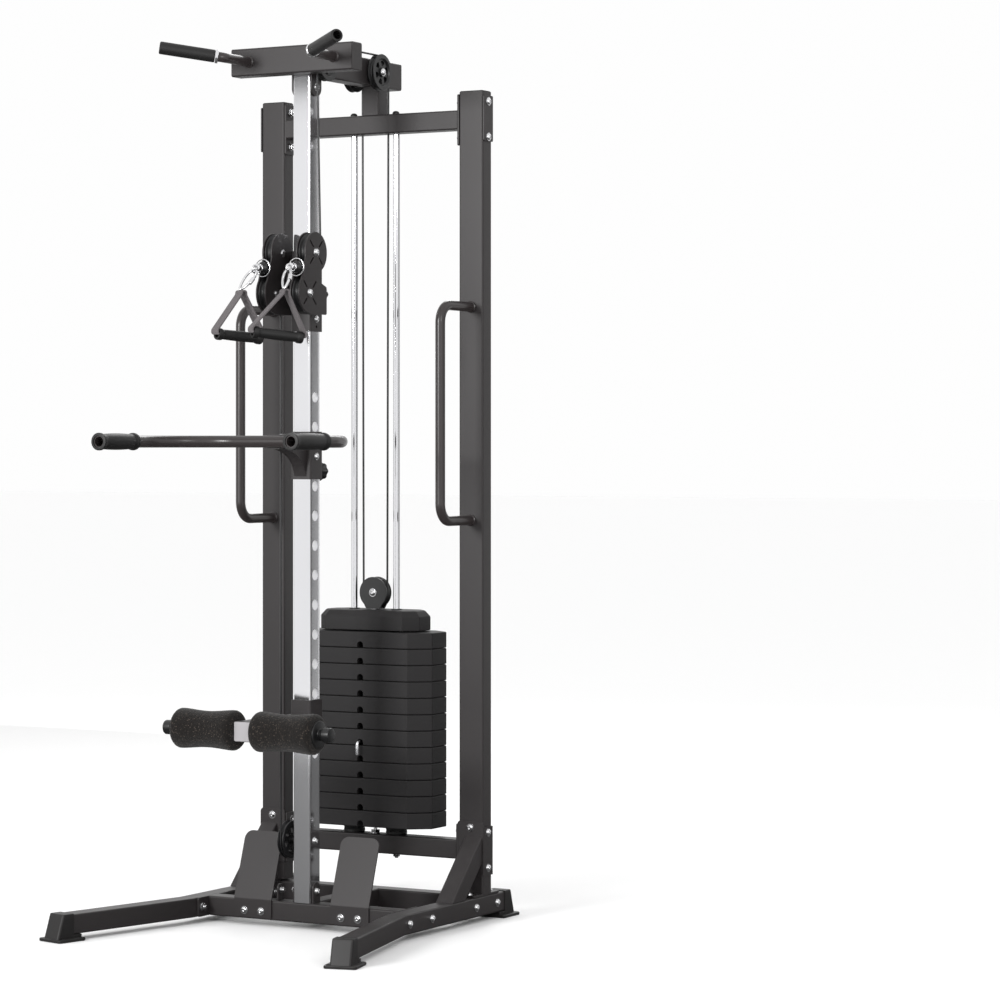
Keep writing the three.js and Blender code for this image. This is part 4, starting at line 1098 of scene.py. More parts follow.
@dataclass
class Tower:
    """Uprights, braces, grab handles and the beam that the stack stands on."""

    x: float = 301.0
    y: float = 361.0
    width: float = 70.0
    depth: float = 48.0
    top: float = 2131.5
    lower_z: float = 182.4
    upper_z: float = 2060.5
    spread: float = 45.5
    rod_x: float = 64.0
    stack_y: float = 364.0
    body: str = "frame"

    def uprights(self, shop: Workshop) -> None:
        """Two tall tubes with plugs in their tops, shoes at the rails, and plates for the top beam's bolts."""
        shaft = straight(
            rounded_box(self.width, self.depth, 5), (self.x, self.y, 71), (self.x, self.y, self.top),
            (0, 1, 0),
        )
        shoe = slab(rounded_box(50, 132, 5), 66.2, 72, 0.8).moved((311, self.y, 0))
        plate = slab(rounded_box(self.depth, 118, 4), 336.2, 340.2, 0.8).placed(
            Axis.X, (0, self.y, self.upper_z + 2)
        )
        shop.pair("upright", [shaft, shoe, plate], "powder", self.body, replaces=["upright_{}"])
        plug = slab(
            rounded_box(self.width - 3, self.depth - 3, 4), self.top - 1, self.top + 2.5, 1.6, 3
        ).moved((self.x, self.y, 0))
        shop.pair("upright_plug", plug, "moulded", self.body)
        bolts = []
        for off in (-self.spread, self.spread):
            bolts += Bolt().skins(Axis.X, (340.2, self.y, self.upper_z + off))
            bolts += Nut().skins(Axis.BACK_X, (260.7, self.y, self.upper_z + off))
            bolts += Nut().skins(Axis.BACK_X, (257.4, self.y, self.lower_z + off))
            bolts += Bolt().skins(Axis.X, (339.3, self.y, self.lower_z + off))
        for off in (-52, 52):
            bolts += Bolt().skins(Axis.Z, (311, self.y + off, 72))
        bolts += Bolt().skins(Axis.BACK_Y, (self.x, 333.7, 241))
        shop.pair("upright_bolts", bolts, "steel", self.body)

    def braces(self, shop: Workshop) -> None:
        """A bent bracket round the upright's foot, and a tube from it down to the rail at 45 degrees."""
        front, rear = self.y - self.depth / 2 - 0.3, self.y + self.depth / 2
        low, high = self.x - self.width / 2 - 0.3, self.x + self.width / 2 + 0.3
        shape = rounded(
            [
                (low - 3, front - 3), (high + 3, front - 3), (high + 3, rear), (high, rear), (high, front),
                (low, front), (low, rear), (low - 3, rear),
            ],
            [5, 5, 0.5, 0.5, 2, 2, 0.5, 0.5], 4,
        )
        tongue = slab(rounded([(-38, 0), (38, 0), (38, 138), (-38, 138)], [1, 1, 10, 10], 5), 0.2, 2.6, 0.5)
        tongue = tongue.placed(Axis.BACK_Y, (self.x, front, 120))
        tube = mitred(
            rounded_box(50, 50, 4.5), (311, front - 2.5, 185.7), (311, front - 2.5 - 119.4, 66.3),
            (0, 1, 0), (0, 0, 1), (0, -1, 1),
        )
        shop.pair(
            "brace", [slab(shape, 118, 243, 0.6), tongue, tube], "powder", self.body, replaces=["brace_{}"]
        )

    def grab_handles(self, shop: Workshop) -> None:
        """A bent round tube on the front of each upright, with a welded foot at each end."""
        front = self.y - self.depth / 2 - 0.3
        path = bend_path(
            [
                (self.x, front, 1578), (self.x, front - 157.7, 1578), (self.x, front - 157.7, 1030),
                (self.x, front, 1030),
            ],
            45, 10,
        )
        skins = [sweep(circle(12.5, 24), path, (1, 0, 0))]
        for z in (1030, 1578):
            skins.append(
                lathe([(0, 0), (15, 0), (15, 3.5), (12.6, 5.5), (0, 5.5)], 28).placed(
                    Axis.BACK_Y, (self.x, front, z)
                )
            )
        shop.pair("grab_handle", skins, "powder_tube", self.body, replaces=["grab_handle_{}"])

    def lower_beam(self, shop: Workshop) -> None:
        """The beam under the stack, with the rods' nuts and the two rubber bumpers."""
        tube = straight(rounded_box(50, 50, 4.5), (-258, self.y, self.lower_z), (258, self.y, self.lower_z))
        plate = slab(rounded_box(self.depth, 132, 4), 257.4, 262.4, 0.8).placed(
            Axis.X, (0, self.y, self.lower_z)
        )
        seats = [
            rod(9.8, -30, 60, 20).moved((x, self.stack_y, self.lower_z)) for x in (-self.rod_x, self.rod_x)
        ]
        shop.piece(
            "lower_beam_body", [tube, plate, plate.mirrored()], "powder", self.body,
            replaces=["lower_beam"], cuts=[seats],
        )
        top = self.lower_z + 25
        ring = [
            (9.6, 0), (26, 0), (28, 2), (28, 9), (26.8, 10), (26.8, 12), (28, 13), (28, 20), (26, 22),
            (9.6, 22), (9.6, 0),
        ]
        bumpers = [lathe(ring, 36).moved((x, self.stack_y, top)) for x in (-self.rod_x, self.rod_x)]
        shop.piece("bumpers", bumpers, "rubber", self.body)
        nuts = Nut(22, 9).skins(Axis.Z, (0, self.stack_y, top))
        flip = np.diag([1.0, -1.0, -1.0])
        for x in (-self.rod_x, self.rod_x):
            nuts += [
                s.turned(flip).moved((x, self.stack_y, top - 50))
                for s in Nut(17, 8).skins(Axis.Z, (0, 0, 0))
            ]
        shop.piece("lower_beam_nuts", nuts, "steel", self.body)

    def guide_rods(self, shop: Workshop) -> None:
        """Two bright rods that the plates run on."""
        for side, x in (("left", -self.rod_x), ("right", self.rod_x)):
            guide = lathe([(0, 188.5), (8.6, 188.5), (9, 189.5), (9, 2049), (8.6, 2049.8), (0, 2049.8)], 28)
            shop.piece(
                f"rod_{side}", guide.moved((x, self.stack_y, 0)), "chrome", self.body,
                replaces=[f"guide_rod_{side}"],
            )

    def build(self, shop: Workshop) -> None:
        """Makes the uprights and what is fixed to them."""
        self.uprights(shop)
        self.braces(shop)
        self.grab_handles(shop)
        self.lower_beam(shop)
        self.guide_rods(shop)


# ------------------------------------------------------------------ the head


@dataclass
class Head:
    """Top cross beam, riser, top beam, the tabs on the post and the pull-up bar."""

    y: float = 361.0
    cross_z: float = 2060.5
    middle_z: float = 2193.0
    pulley_x: float = 39.5
    rear_y: float = 320.5
    left_y: float = 111.0
    right_y: float = 53.6
    body: str = "frame"

    def frame(self, shop: Workshop) -> None:
        """The welded head: cross beam, riser, top beam and tabs."""
        cross = straight(
            rounded_box(50, 50, 4.5), (-261, self.y, self.cross_z), (261, self.y, self.cross_z)
        )
        plate = slab(rounded_box(48, 132, 4), 260.7, 265.7, 0.8).placed(Axis.X, (0, self.y, self.cross_z))
        riser = straight(rounded_box(50, 50, 4.5), (0, self.y, 2085), (0, self.y, 2160), (0, 1, 0))
        beam = straight(rounded_box(50, 70, 5), (0, -1, self.middle_z), (0, 456, self.middle_z))
        tab = slab(
            rounded([(-24, 75), (-24, 0), (24, 0), (24, 75)], [1, 22, 22, 1], 8), 25.3, 29.7, 0.8
        ).placed(Axis.X, (0, 24, 2105))
        ways = [rod(7, -40, 40, 20).moved((x, 364, self.cross_z)) for x in (-self.pulley_x, self.pulley_x)]
        shop.piece("head_cross", cross, "powder", self.body, replaces=["head_frame"], cuts=[ways])
        shop.piece(
            "head_beams", [plate, plate.mirrored(), riser, beam, tab, tab.mirrored()], "powder", self.body
        )
        plug = slab(rounded_box(68, 48, 4), 0, 3, 1.5, 3).placed(Axis.Y, (0, 455, self.middle_z))
        shop.piece("top_beam_plug", plug, "moulded", self.body)

    def fixings(self, shop: Workshop) -> None:
        """Pulley axles with their bolts, the tab bolt, and the rods' upper nuts."""
        skins = []
        spacers = []
        for y, side in ((self.rear_y, 1), (self.rear_y, -1), (self.left_y, -1), (self.right_y, 1)):
            axis = Axis.X if side > 0 else Axis.BACK_X
            at = (side * 25, y, self.middle_z)
            skins.append(rod(6, 0, 26, 20).placed(axis, at))
            spacers.append(lathe([(6.2, 0), (10, 0), (10, 5.2), (6.2, 5.2), (6.2, 0)], 20).placed(axis, at))
            skins += Bolt(8.5, 6, 10.5).skins(axis, (side * 49, y, self.middle_z))
        skins += Bolt().skins(Axis.X, (29.7, 24, 2128)) + Nut().skins(Axis.BACK_X, (-29.7, 24, 2128))
        shop.piece("head_bolts", skins, "steel", self.body)
        caps = [
            lathe([(0, 0), (9, 0), (9.5, 1), (9, 5), (6.5, 8), (3, 9.3), (0, 9.6)], 24).moved(
                (x, self.y, self.cross_z + 25)
            )
            for x in (-64, 64)
        ]
        shop.piece("rod_caps", caps, "moulded", self.body)
        shop.piece("pulley_spacers", spacers, "dark_steel", self.body)

    def pullup(self, shop: Workshop) -> None:
        """The beam across the front, and two bent tubes with rubber grips."""
        beam = straight(rounded_box(50, 70, 5), (-178, -26.3, self.middle_z), (178, -26.3, self.middle_z))
        elbow, tip = np.array([126.5, -163.6, self.middle_z]), np.array([260.5, -253, 2217])
        along = (tip - elbow) / np.linalg.norm(tip - elbow)
        normal = np.cross((0, -1.0, 0), along)
        path = bend_path([(126.5, -49, self.middle_z), tuple(elbow), tuple(tip - along * 36)], 20, 8)
        tube = sweep(circle(12.5, 24), path, tuple(normal / np.linalg.norm(normal)))
        weld = lathe([(0, 0), (15.5, 0), (15.5, 2), (12.8, 5), (0, 5)], 28).placed(
            Axis.BACK_Y, (126.5, -51.3, self.middle_z)
        )
        shop.piece("pullup_beam", beam, "powder", self.body, replaces=["pullup_bar"])
        plug = slab(rounded_box(48, 68, 4), 177, 179.6, 1.2, 3).placed(Axis.X, (0, -26.3, self.middle_z))
        shop.pair("pullup_plug", plug, "powder", self.body)
        shop.pair("pullup_tube", [tube, weld], "powder_tube", self.body)
        sleeve = [
            (0, 0), (14.2, 0), (15.6, 1), (16, 4), (16, 136), (15.2, 139), (13.4, 140), (11, 140),
            (10.6, 138), (10.4, 105), (0, 105),
        ]
        side = np.cross((0, 0, 1.0), along)
        side /= np.linalg.norm(side)
        turn = np.column_stack([side, np.cross(along, side), along])
        shop.pair(
            "pullup_grip", lathe(sleeve, 36).turned(turn).moved(tuple(tip - along * 140)), "rubber",
            self.body,
        )
        ring = lathe([(12.6, 0), (16.5, 0), (17.5, 1), (17.5, 7), (16.5, 8), (12.6, 8), (12.6, 0)], 36)
        shop.pair("pullup_ring", ring.turned(turn).moved(tuple(tip - along * 148.5)), "steel", self.body)

    def build(self, shop: Workshop) -> None:
        """Makes the head, and the four pulleys on it."""
        self.frame(shop)
        self.fixings(shop)
        self.pullup(shop)
        wheel = Wheel()
        places = {
            "rear_left": (-self.pulley_x, self.rear_y), "rear_right": (self.pulley_x, self.rear_y),
            "front_left": (-self.pulley_x, self.left_y), "front_right": (self.pulley_x, self.right_y),
        }
        for name, (x, y) in places.items():
            wheel.build(shop, f"pulley_top_{name}", f"wheel_top_{name}", Axis.X, (x, y, self.middle_z))


# ------------------------------------------------------------------ the post


@dataclass
class Post:
    """The bright square post with its adjustment holes and the low pulley."""

    y: float = 24.0
    bottom: float = 66.3
    top: float = 2157.7
    first: float = 1344.4
    pitch: float = 75.0
    count: int = 13
    above: int = 8
    low_z: float = 222.0
    body: str = "frame"

    def build(self, shop: Workshop) -> None:
        """A square tube; its bore, its side holes and its rear holes are cut one set after another."""
        shaft = straight(rounded_box(50, 50, 4), (0, self.y, self.bottom), (0, self.y, self.top), (0, 1, 0))
        bore = straight(
            rounded_box(45, 45, 2.5), (0, self.y, self.bottom - 5), (0, self.y, self.top + 5), (0, 1, 0)
        )
        side = rod(13.5, -30, 30, 32)
        sides = [side.placed(Axis.X, (0, self.y, self.first - self.pitch * k)) for k in range(self.count)]
        rear = rod(6, 0, 30, 20)
        total = self.count + self.above
        rears = [
            rear.placed(Axis.Y, (0, self.y, self.first + self.pitch * (self.above - 0.5 - k)))
            for k in range(total)
        ]
        shop.piece(
            "post_tube", shaft, "chrome", self.body, replaces=["post"], cuts=[[bore], sides, rears],
            bevel=0.4,
        )
        # Painted reflection: a pale strip just inside each side wall of the bore, behind the side holes,
        # stands in for the light that the chrome bore reflects.
        low, high = self.first - self.pitch * (self.count - 1) - 30, self.first + 30
        strip = slab(rounded_box(40, high - low, 1), 21.2, 22.3, 0.2).placed(
            Axis.X, (0, self.y, (low + high) / 2)
        )
        shop.piece("post_bore_painted_reflection", [strip, strip.mirrored()], "bore_reflection_paint", self.body)
        spacer = rod(10, 0, 13.5, 24).placed(Axis.BACK_X, (-25, self.y, self.low_z))
        axle = rod(6, 0, 42, 20).placed(Axis.BACK_X, (-25, self.y, self.low_z))
        bolts = Bolt(9, 6, 11).skins(Axis.X, (25, self.y, self.low_z)) + Bolt(8.5, 6, 10.5).skins(
            Axis.BACK_X, (-60, self.y, self.low_z)
        )
        shop.piece("low_pulley_spacer", spacer, "dark_steel", self.body)
        shop.piece("low_pulley_bolt", [axle, *bolts], "steel", self.body)
        Wheel().build(shop, "pulley_low", "wheel_low", Axis.X, (-50, self.y, self.low_z))


# ------------------------------------------------------------------ the weight stack


@dataclass
class Stack:
    """Twelve plates, the cap, the selector rod and pin, and the floating pulley."""

    y: float = 364.0
    half_x: float = 193.0
    half_y: float = 78.5
    chamfer: tuple[float, float] = (52.0, 41.0)
    bottom: float = 230.4
    pitch: float = 42.3
    plates: int = 12
    lifted: int = 7
    rod_x: float = 64.0
    float_z: float = 837.0
    float_cable: float = 36.0

    @property
    def top(self) -> float:
        """Height of the uppermost plate's top."""
        return self.bottom + self.pitch * self.plates

    def octagon(
        self, half_x: float, half_y: float, chamfer: tuple[float, float], radius: float
    ) -> np.ndarray:
        """A rectangle with cut corners, each slightly round."""
        a, b, c, d = half_x, half_y, half_x - chamfer[0], half_y - chamfer[1]
        corners = [(c, -b), (a, -d), (a, d), (c, b), (-c, b), (-a, d), (-a, -d), (-c, -b)]
        return rounded(corners, radius, 4) + np.array([0, self.y])

    def plate(self, shop: Workshop, k: int) -> None:
        """One plate, counted from the top: its edges are rounded, and rods, rod and pin have their holes."""
        low = self.top - self.pitch * (k + 1) + 0.5
        high = low + self.pitch - 1.0
        shape = self.octagon(self.half_x, self.half_y, self.chamfer, 5)
        holes = [rod(11, low - 5, high + 5, 20).moved((x, self.y, 0)) for x in (-self.rod_x, 0, self.rod_x)]
        arch = rounded([(-9, -4), (9, -4), (9, 17), (-9, 17)], [0.5, 0.5, 8.9, 8.9], 8)
        slot = slab(arch, 0, 60, 0.1, 1).turned([[1, 0, 0], [0, 0, 1], [0, 1, 0]]).moved(
            (0, self.y - self.half_y - 5, low - 0.5)
        )
        lifted = k < self.lifted
        node = ["plates_lifted"] if k == 0 else ["plates_resting"] if k == self.lifted else []
        shop.piece(
            f"plate_{k + 1:02d}", slab(shape, low, high, 2.6, 3), "casting", "stack" if lifted else "frame",
            replaces=node, cuts=[[*holes, slot]],
        )

    def cap(self, shop: Workshop) -> None:
        """The guide block on top: an octagon drawn in over its sloping shoulders."""
        base = self.top + 3
        rows = []
        for by, z in [(1.5, 0), (0.3, 0.6), (0, 2), (0, 34), (1.2, 37), (11, 48.5), (13.5, 50.6), (17, 52)]:
            corner = 34 - by * (2 - math.sqrt(2))
            shape = self.octagon(150 - by, 63 - by, (corner, corner), 5)
            rows.append(np.column_stack([closed(shape), np.full(len(shape) + 1, base + z)]))
        holes = [
            rod(11, base - 5, base + 60, 24).moved((x, self.y, 0)) for x in (-self.rod_x, 0, self.rod_x)
        ]
        shop.piece(
            "cap", grid(np.stack(rows), caps=True), "casting", "stack", replaces=["stack_cap"], cuts=[holes]
        )
        bushes = [
            lathe(
                [
                    (9.6, base + 44), (10.8, base + 44), (10.8, base + 51.5), (14, base + 52),
                    (14, base + 54.5), (9.6, base + 54.5), (9.6, base + 44),
                ],
                28,
            ).moved((x, self.y, 0))
            for x in (-self.rod_x, self.rod_x)
        ]
        shop.piece("cap_bushes", bushes, "plastic", "stack")

    def selector(self, shop: Workshop) -> None:
        """The rod, its yoke with two cheeks, the yoke's bolt, and the pin with its bent end."""
        base = self.top + 55
        shaft = rod(9, self.bottom + 2, base + 7, 24).moved((0, self.y, 0))
        shop.piece("selector", shaft, "steel", "stack", replaces=["selector_rod"])
        angle = np.radians(np.linspace(-48, 228, 36))
        lobe = np.column_stack([41 * np.cos(angle), self.float_z + 41 * np.sin(angle)])
        cheek = np.vstack([lobe, [(-23, base + 5), (-20, base + 1.5), (20, base + 1.5), (23, base + 5)]])
        swap = [[1, 0, 0], [0, 0, 1], [0, 1, 0]]
        cheeks = [
            slab(cheek, low, low + 3, 0.6).turned(swap).moved((0, self.y, 0)) for low in (-13.5, 10.5)
        ]
        saddle = slab(rounded_box(38, 24, 2), base + 1.5, base + 4.5, 0.6).moved((0, self.y, 0))
        shop.piece("yoke", [*cheeks, saddle], "plastic", "stack")
        axle = rod(6, -14, 14, 20).placed(Axis.Y, (0, self.y, self.float_z))
        bolts = Bolt(9, 6, 11).skins(Axis.BACK_Y, (0, self.y - 13.5, self.float_z)) + Nut(17, 7).skins(
            Axis.Y, (0, self.y + 13.5, self.float_z)
        )
        shop.piece(
            "yoke_bolt", [axle, *bolts, *Nut(24, 7).skins(Axis.Z, (0, self.y, base - 3.2))], "steel",
            "stack",
        )
        Wheel(40, self.float_cable, 18, 6.4, 0).build(
            shop, "pulley_floating", "floating_pulley", Axis.Y, (0, self.y, self.float_z)
        )
        z = self.top - self.pitch * self.lifted + 10
        front = self.y - self.half_y - 14
        path = bend_path([(0, self.y - 10, z), (0, front, z), (0, front, z - 34)], 8, 6)
        shop.piece(
            "pin", sweep(circle(4.3, 16), path, (1, 0, 0)), "chrome", "pin", replaces=["selector_pin"],
            bevel=0.8,
        )

    def build(self, shop: Workshop) -> None:
        """Makes the stack from the top down."""
        self.cap(shop)
        for k in range(self.plates):
            self.plate(shop, k)
        self.selector(shop)


# ------------------------------------------------------------------ the carriage


@dataclass
class Carriage:
    """The pulley carriage: a sleeve with two lobed cheeks round each pair of pulleys."""

    lane: float = 50.0
    upper: tuple[float, float] = (-33.4, 1706.8)
    lower: tuple[float, float] = (-63.0, 1604.4)
    lobe: float = 51.0
    sheet: float = 4.0
    post_y: float = 24.0
    body: str = "carriage"
    sleeve: Sleeve = Sleeve("carriage", "carriage", 1510, 1714, 1606.9, (1541.8, 1623.0))

    def cheek_outline(self) -> np.ndarray:
        """Two discs of one radius with a waist between them and a square heel, in Y and Z, anticlockwise."""
        (uy, uz), (ly, lz) = self.upper, self.lower
        top = np.radians(np.linspace(-66, 195, 40))
        bottom = np.radians(np.linspace(143, 262, 20))
        upper = np.column_stack([uy + self.lobe * np.cos(top), uz + self.lobe * np.sin(top)])
        lower = np.column_stack([ly + self.lobe * np.cos(bottom), lz + self.lobe * np.sin(bottom)])
        heel = [
            (ly, lz - 53), (14, lz - 53), (17, lz - 50), (17, lz + 13), (15, lz + 17), (-8, lz + 26),
            (-14, lz + 34),
        ]
        return np.vstack([upper, lower, heel])

    def plates(self, shop: Workshop) -> None:
        """Four cheeks; four slots at 45 degrees stand round each axle of the outer two."""
        inner = self.lane - 14.5
        shape = self.cheek_outline()
        for side, flip in (("right", False), ("left", True)):
            for label, low in (("inner", inner), ("outer", inner + 25)):
                sheet = slab(shape, low, low + self.sheet, 0.7).placed(Axis.X, (0, 0, 0))
                cuts = []
                for y, z in (self.upper, self.lower):
                    for k in range(4):
                        angle = math.pi / 4 + k * math.pi / 2
                        turn = about_z(angle)
                        slot = slab(
                            rounded_box(24, 4.6, 2.2, 3), low - 5, low + 9, 0.1, 1
                        ).moved((30, 0, 0)).turned(turn)
                        cuts.append(slot.placed(Axis.X, (0, y, z)))
                skins, tools = [sheet], cuts if label == "outer" else []
                if flip:
                    skins, tools = [s.mirrored() for s in skins], [s.mirrored() for s in tools]
                shop.piece(
                    f"cheek_{label}_{side}", skins, "powder", self.body, cuts=[tools] if tools else []
                )

    def build(self, shop: Workshop) -> None:
        """Makes the sleeve, cheeks, blocks, axles and the four pulleys."""
        self.plates(shop)
        square = slab(rounded_box(16, 16, 1.5), 0, 12, 0.1, 1)
        notches = [
            square.placed(Axis.X, (20, self.post_y + 12, 1614)),
            square.placed(Axis.BACK_X, (-20, self.post_y + 12, 1614)),
        ]
        holes = [rod(4, 20, 35, 16).placed(a, (0, self.post_y, 1522)) for a in (Axis.X, Axis.BACK_X)]
        shop.piece(
            "carriage_sleeve", self.sleeve.wall(), "powder", self.body, replaces=["carriage"],
            cuts=[[self.sleeve.way()], [*notches, *holes]], bevel=0.5,
        )
        blocks = [slab(rounded_box(28, 130, 2), 28.6, 38.2, 0.6).placed(Axis.X, (0, self.post_y - 6, 1635))]
        shop.pair("carriage_block", blocks, "powder", self.body)
        skins = []
        for y, z in (self.upper, self.lower):
            for axis, side in ((Axis.X, 1), (Axis.BACK_X, -1)):
                skins.append(rod(5.9, 0, 32, 18).placed(axis, (side * 32, y, z)))
                skins += Bolt(9, 6, 11.5).skins(axis, (side * 64.5, y, z))
                skins += Nut(15, 2.5).skins(Axis.BACK_X if side > 0 else Axis.X, (side * 35.5, y, z))[:1]
        shop.piece("carriage_axles", skins, "steel", self.body)
        self.sleeve.knob(shop)
        self.sleeve.fixings(shop)
        for side, x in (("left", -self.lane), ("right", self.lane)):
            for label, (y, z) in (("upper", self.upper), ("lower", self.lower)):
                node = f"pulley_carriage_{label}_{side}"
                Wheel().build(shop, node, f"wheel_carriage_{label}_{side}", Axis.X, (x, y, z))


# ------------------------------------------------------------------ the dip bar


@dataclass
class DipStation:
    """A sleeve with a short square arm and a bent bar that ends in two grips."""

    z: float = 1194.4
    bar_z: float = 1232.0
    bar_y: float = -138.0
    bend: float = 170.0
    half_width: float = 277.0
    tip_y: float = -491.0
    tube: float = 15.0
    post_y: float = 24.0
    body: str = "dip"
    sleeve: Sleeve = Sleeve("dip_bar", "dip", 1136.7, 1257.0, 1156.9, (1194.4,))

    def build(self, shop: Workshop) -> None:
        """Makes the sleeve, arm, gusset, bar and grips."""
        front = self.post_y - 29.5
        shop.piece(
            "dip_sleeve", self.sleeve.wall(), "powder", self.body, replaces=["dip_bar"],
            cuts=[[self.sleeve.way()]], bevel=0.5,
        )
        arm = mitred(
            rounded_box(38, 38, 3.5), (0, front + 1, self.bar_z), (0, self.bar_y + 6, self.bar_z),
            (0, 1, 0), (0, 1, 0), (0, 0, 1),
        )
        start = np.array([front + 1, self.z - 54.0])
        control = np.array([front - 12, self.bar_z - 24.0])
        end = np.array([self.bar_y + 22, self.bar_z - 17.0])
        curve = [
            tuple((1 - t) ** 2 * start + 2 * t * (1 - t) * control + t**2 * end)
            for t in np.linspace(0, 1, 12)
        ]
        gusset = slab(
            np.array([*curve, (front + 1, self.bar_z - 17)]), -17, 17, 1.2, 2
        ).placed(Axis.X, (0, 0, 0))
        corners = [
            (-self.half_width, self.tip_y + 2, self.bar_z), (-self.half_width, self.bar_y, self.bar_z),
            (self.half_width, self.bar_y, self.bar_z), (self.half_width, self.tip_y + 2, self.bar_z),
        ]
        tube = sweep(circle(self.tube, 28), bend_path(corners, self.bend, 20), (0, 0, 1))
        bores = [
            rod(12.5, -2, 60, 24).placed(Axis.Y, (x, self.tip_y - 5, self.bar_z))
            for x in (-self.half_width, self.half_width)
        ]
        shop.piece("dip_arm", [arm, gusset], "powder", self.body)
        shop.piece("dip_tube", tube, "powder_tube", self.body, cuts=[bores])
        t = np.linspace(0, 1, 13)
        barrel = [(18.4 + 2.0 * math.sin(math.pi * v) ** 0.8, 13 + 126 * v) for v in t]
        profile = [
            (15.2, 0), (20.2, 0), (21.6, 1), (21.8, 3), (21.6, 8), (20.4, 10), *barrel, (20.4, 142),
            (21.6, 144), (21.8, 149), (21.4, 151.6), (15.2, 152), (15.2, 0),
        ]
        for side, x in (("right", self.half_width), ("left", -self.half_width)):
            shop.piece(
                f"dip_rubber_{side}", lathe(profile, 40).placed(Axis.Y, (x, self.tip_y - 1, self.bar_z)),
                "rubber", self.body, replaces=[f"dip_grip_{side}"],
            )
        self.sleeve.knob(shop)
        self.sleeve.fixings(shop)


# ------------------------------------------------------------------ the leg hold


@dataclass
class LegHold:
    """A sleeve with a square arm and two foam rollers."""

    z: float = 519.4
    axis_y: float = -250.0
    arm_end: float = -275.0
    foam: tuple[float, float] = (27.0, 205.0)
    radius: float = 50.0
    waist: float = 45.0
    post_y: float = 24.0
    body: str = "leg"
    sleeve: Sleeve = Sleeve("leg_hold", "leg", 459.4, 579.4, 481.9, (519.4,))

    def roller(self) -> Skin:
        """The foam: r(t) = radius less a shallow dish, with rounded ends."""
        a, b = self.foam
        t = np.linspace(0, 1, 25)
        ease = 14.0
        body = [
            (
                self.radius - (self.radius - self.waist) * math.sin(math.pi * v) ** 1.5,
                a + ease + (b - a - 2 * ease) * v,
            )
            for v in t
        ]
        angles = np.radians([0, 20, 40, 60, 78])
        low = [(self.radius - ease + ease * math.sin(v), a + ease - ease * math.cos(v)) for v in angles]
        high = [(r, a + b - z) for r, z in reversed(low)]
        return lathe(
            [(12.6, a + 0.5), (26, a), *low, *body[1:-1], *high, (26, b), (12.6, b - 0.5), (12.6, a + 0.5)],
            56,
        )

    def build(self, shop: Workshop) -> None:
        """Makes the sleeve, arm, shaft, discs and rollers."""
        front = self.post_y - 29.5
        shop.piece(
            "leg_sleeve", self.sleeve.wall(), "powder", self.body, replaces=["leg_hold"],
            cuts=[[self.sleeve.way()]], bevel=0.5,
        )
        arm = mitred(
            rounded_box(50, 50, 4.5), (0, front + 1, self.z), (0, self.arm_end + 2, self.z), (0, 1, 0),
            (0, 1, 0), (0, 0, 1),
        )
        # Painted reflection: the plug's light grey is partly its own colour and partly stands in for the
        # lights' reflection on it.
        plug = slab(rounded_box(48, 48, 4), 0, 3, 1.4, 3).placed(Axis.BACK_Y, (0, self.arm_end + 3, self.z))
        shop.piece("leg_arm", arm, "powder", self.body)
        shop.piece("leg_plug", plug, "grey_plastic_and_painted_reflection", self.body)
        at = (0, self.axis_y, self.z)
        end = self.foam[1]
        shaft = rod(12.2, -end - 3, end + 3, 24).placed(Axis.X, at)
        shop.piece("leg_shaft", shaft, "steel", self.body)
        disc = [
            (0, 0.4), (32.5, 0.4), (34, 1.4), (34, 3.4), (32, 5), (15, 5.8), (14, 7), (14, 13), (15, 15)
        ]
        knob = [(17.4, 16.5), (18, 18), (18, 35), (17, 37), (14, 38), (0, 38)]
        shop.pair(
            "leg_stop", lathe([*disc, *knob], 44).moved((0, 0, end)).placed(Axis.X, at), "plastic",
            self.body,
        )
        for side, axis in (("right", Axis.X), ("left", Axis.BACK_X)):
            foam = self.roller().placed(axis, at)
            padded = shop.piece(
                f"foam_{side}", foam, "foam", f"foam_{side}", replaces=[f"foam_roller_{side}"]
            )
        self.sleeve.knob(shop)
        self.sleeve.fixings(shop)


# ------------------------------------------------------------------ the handles


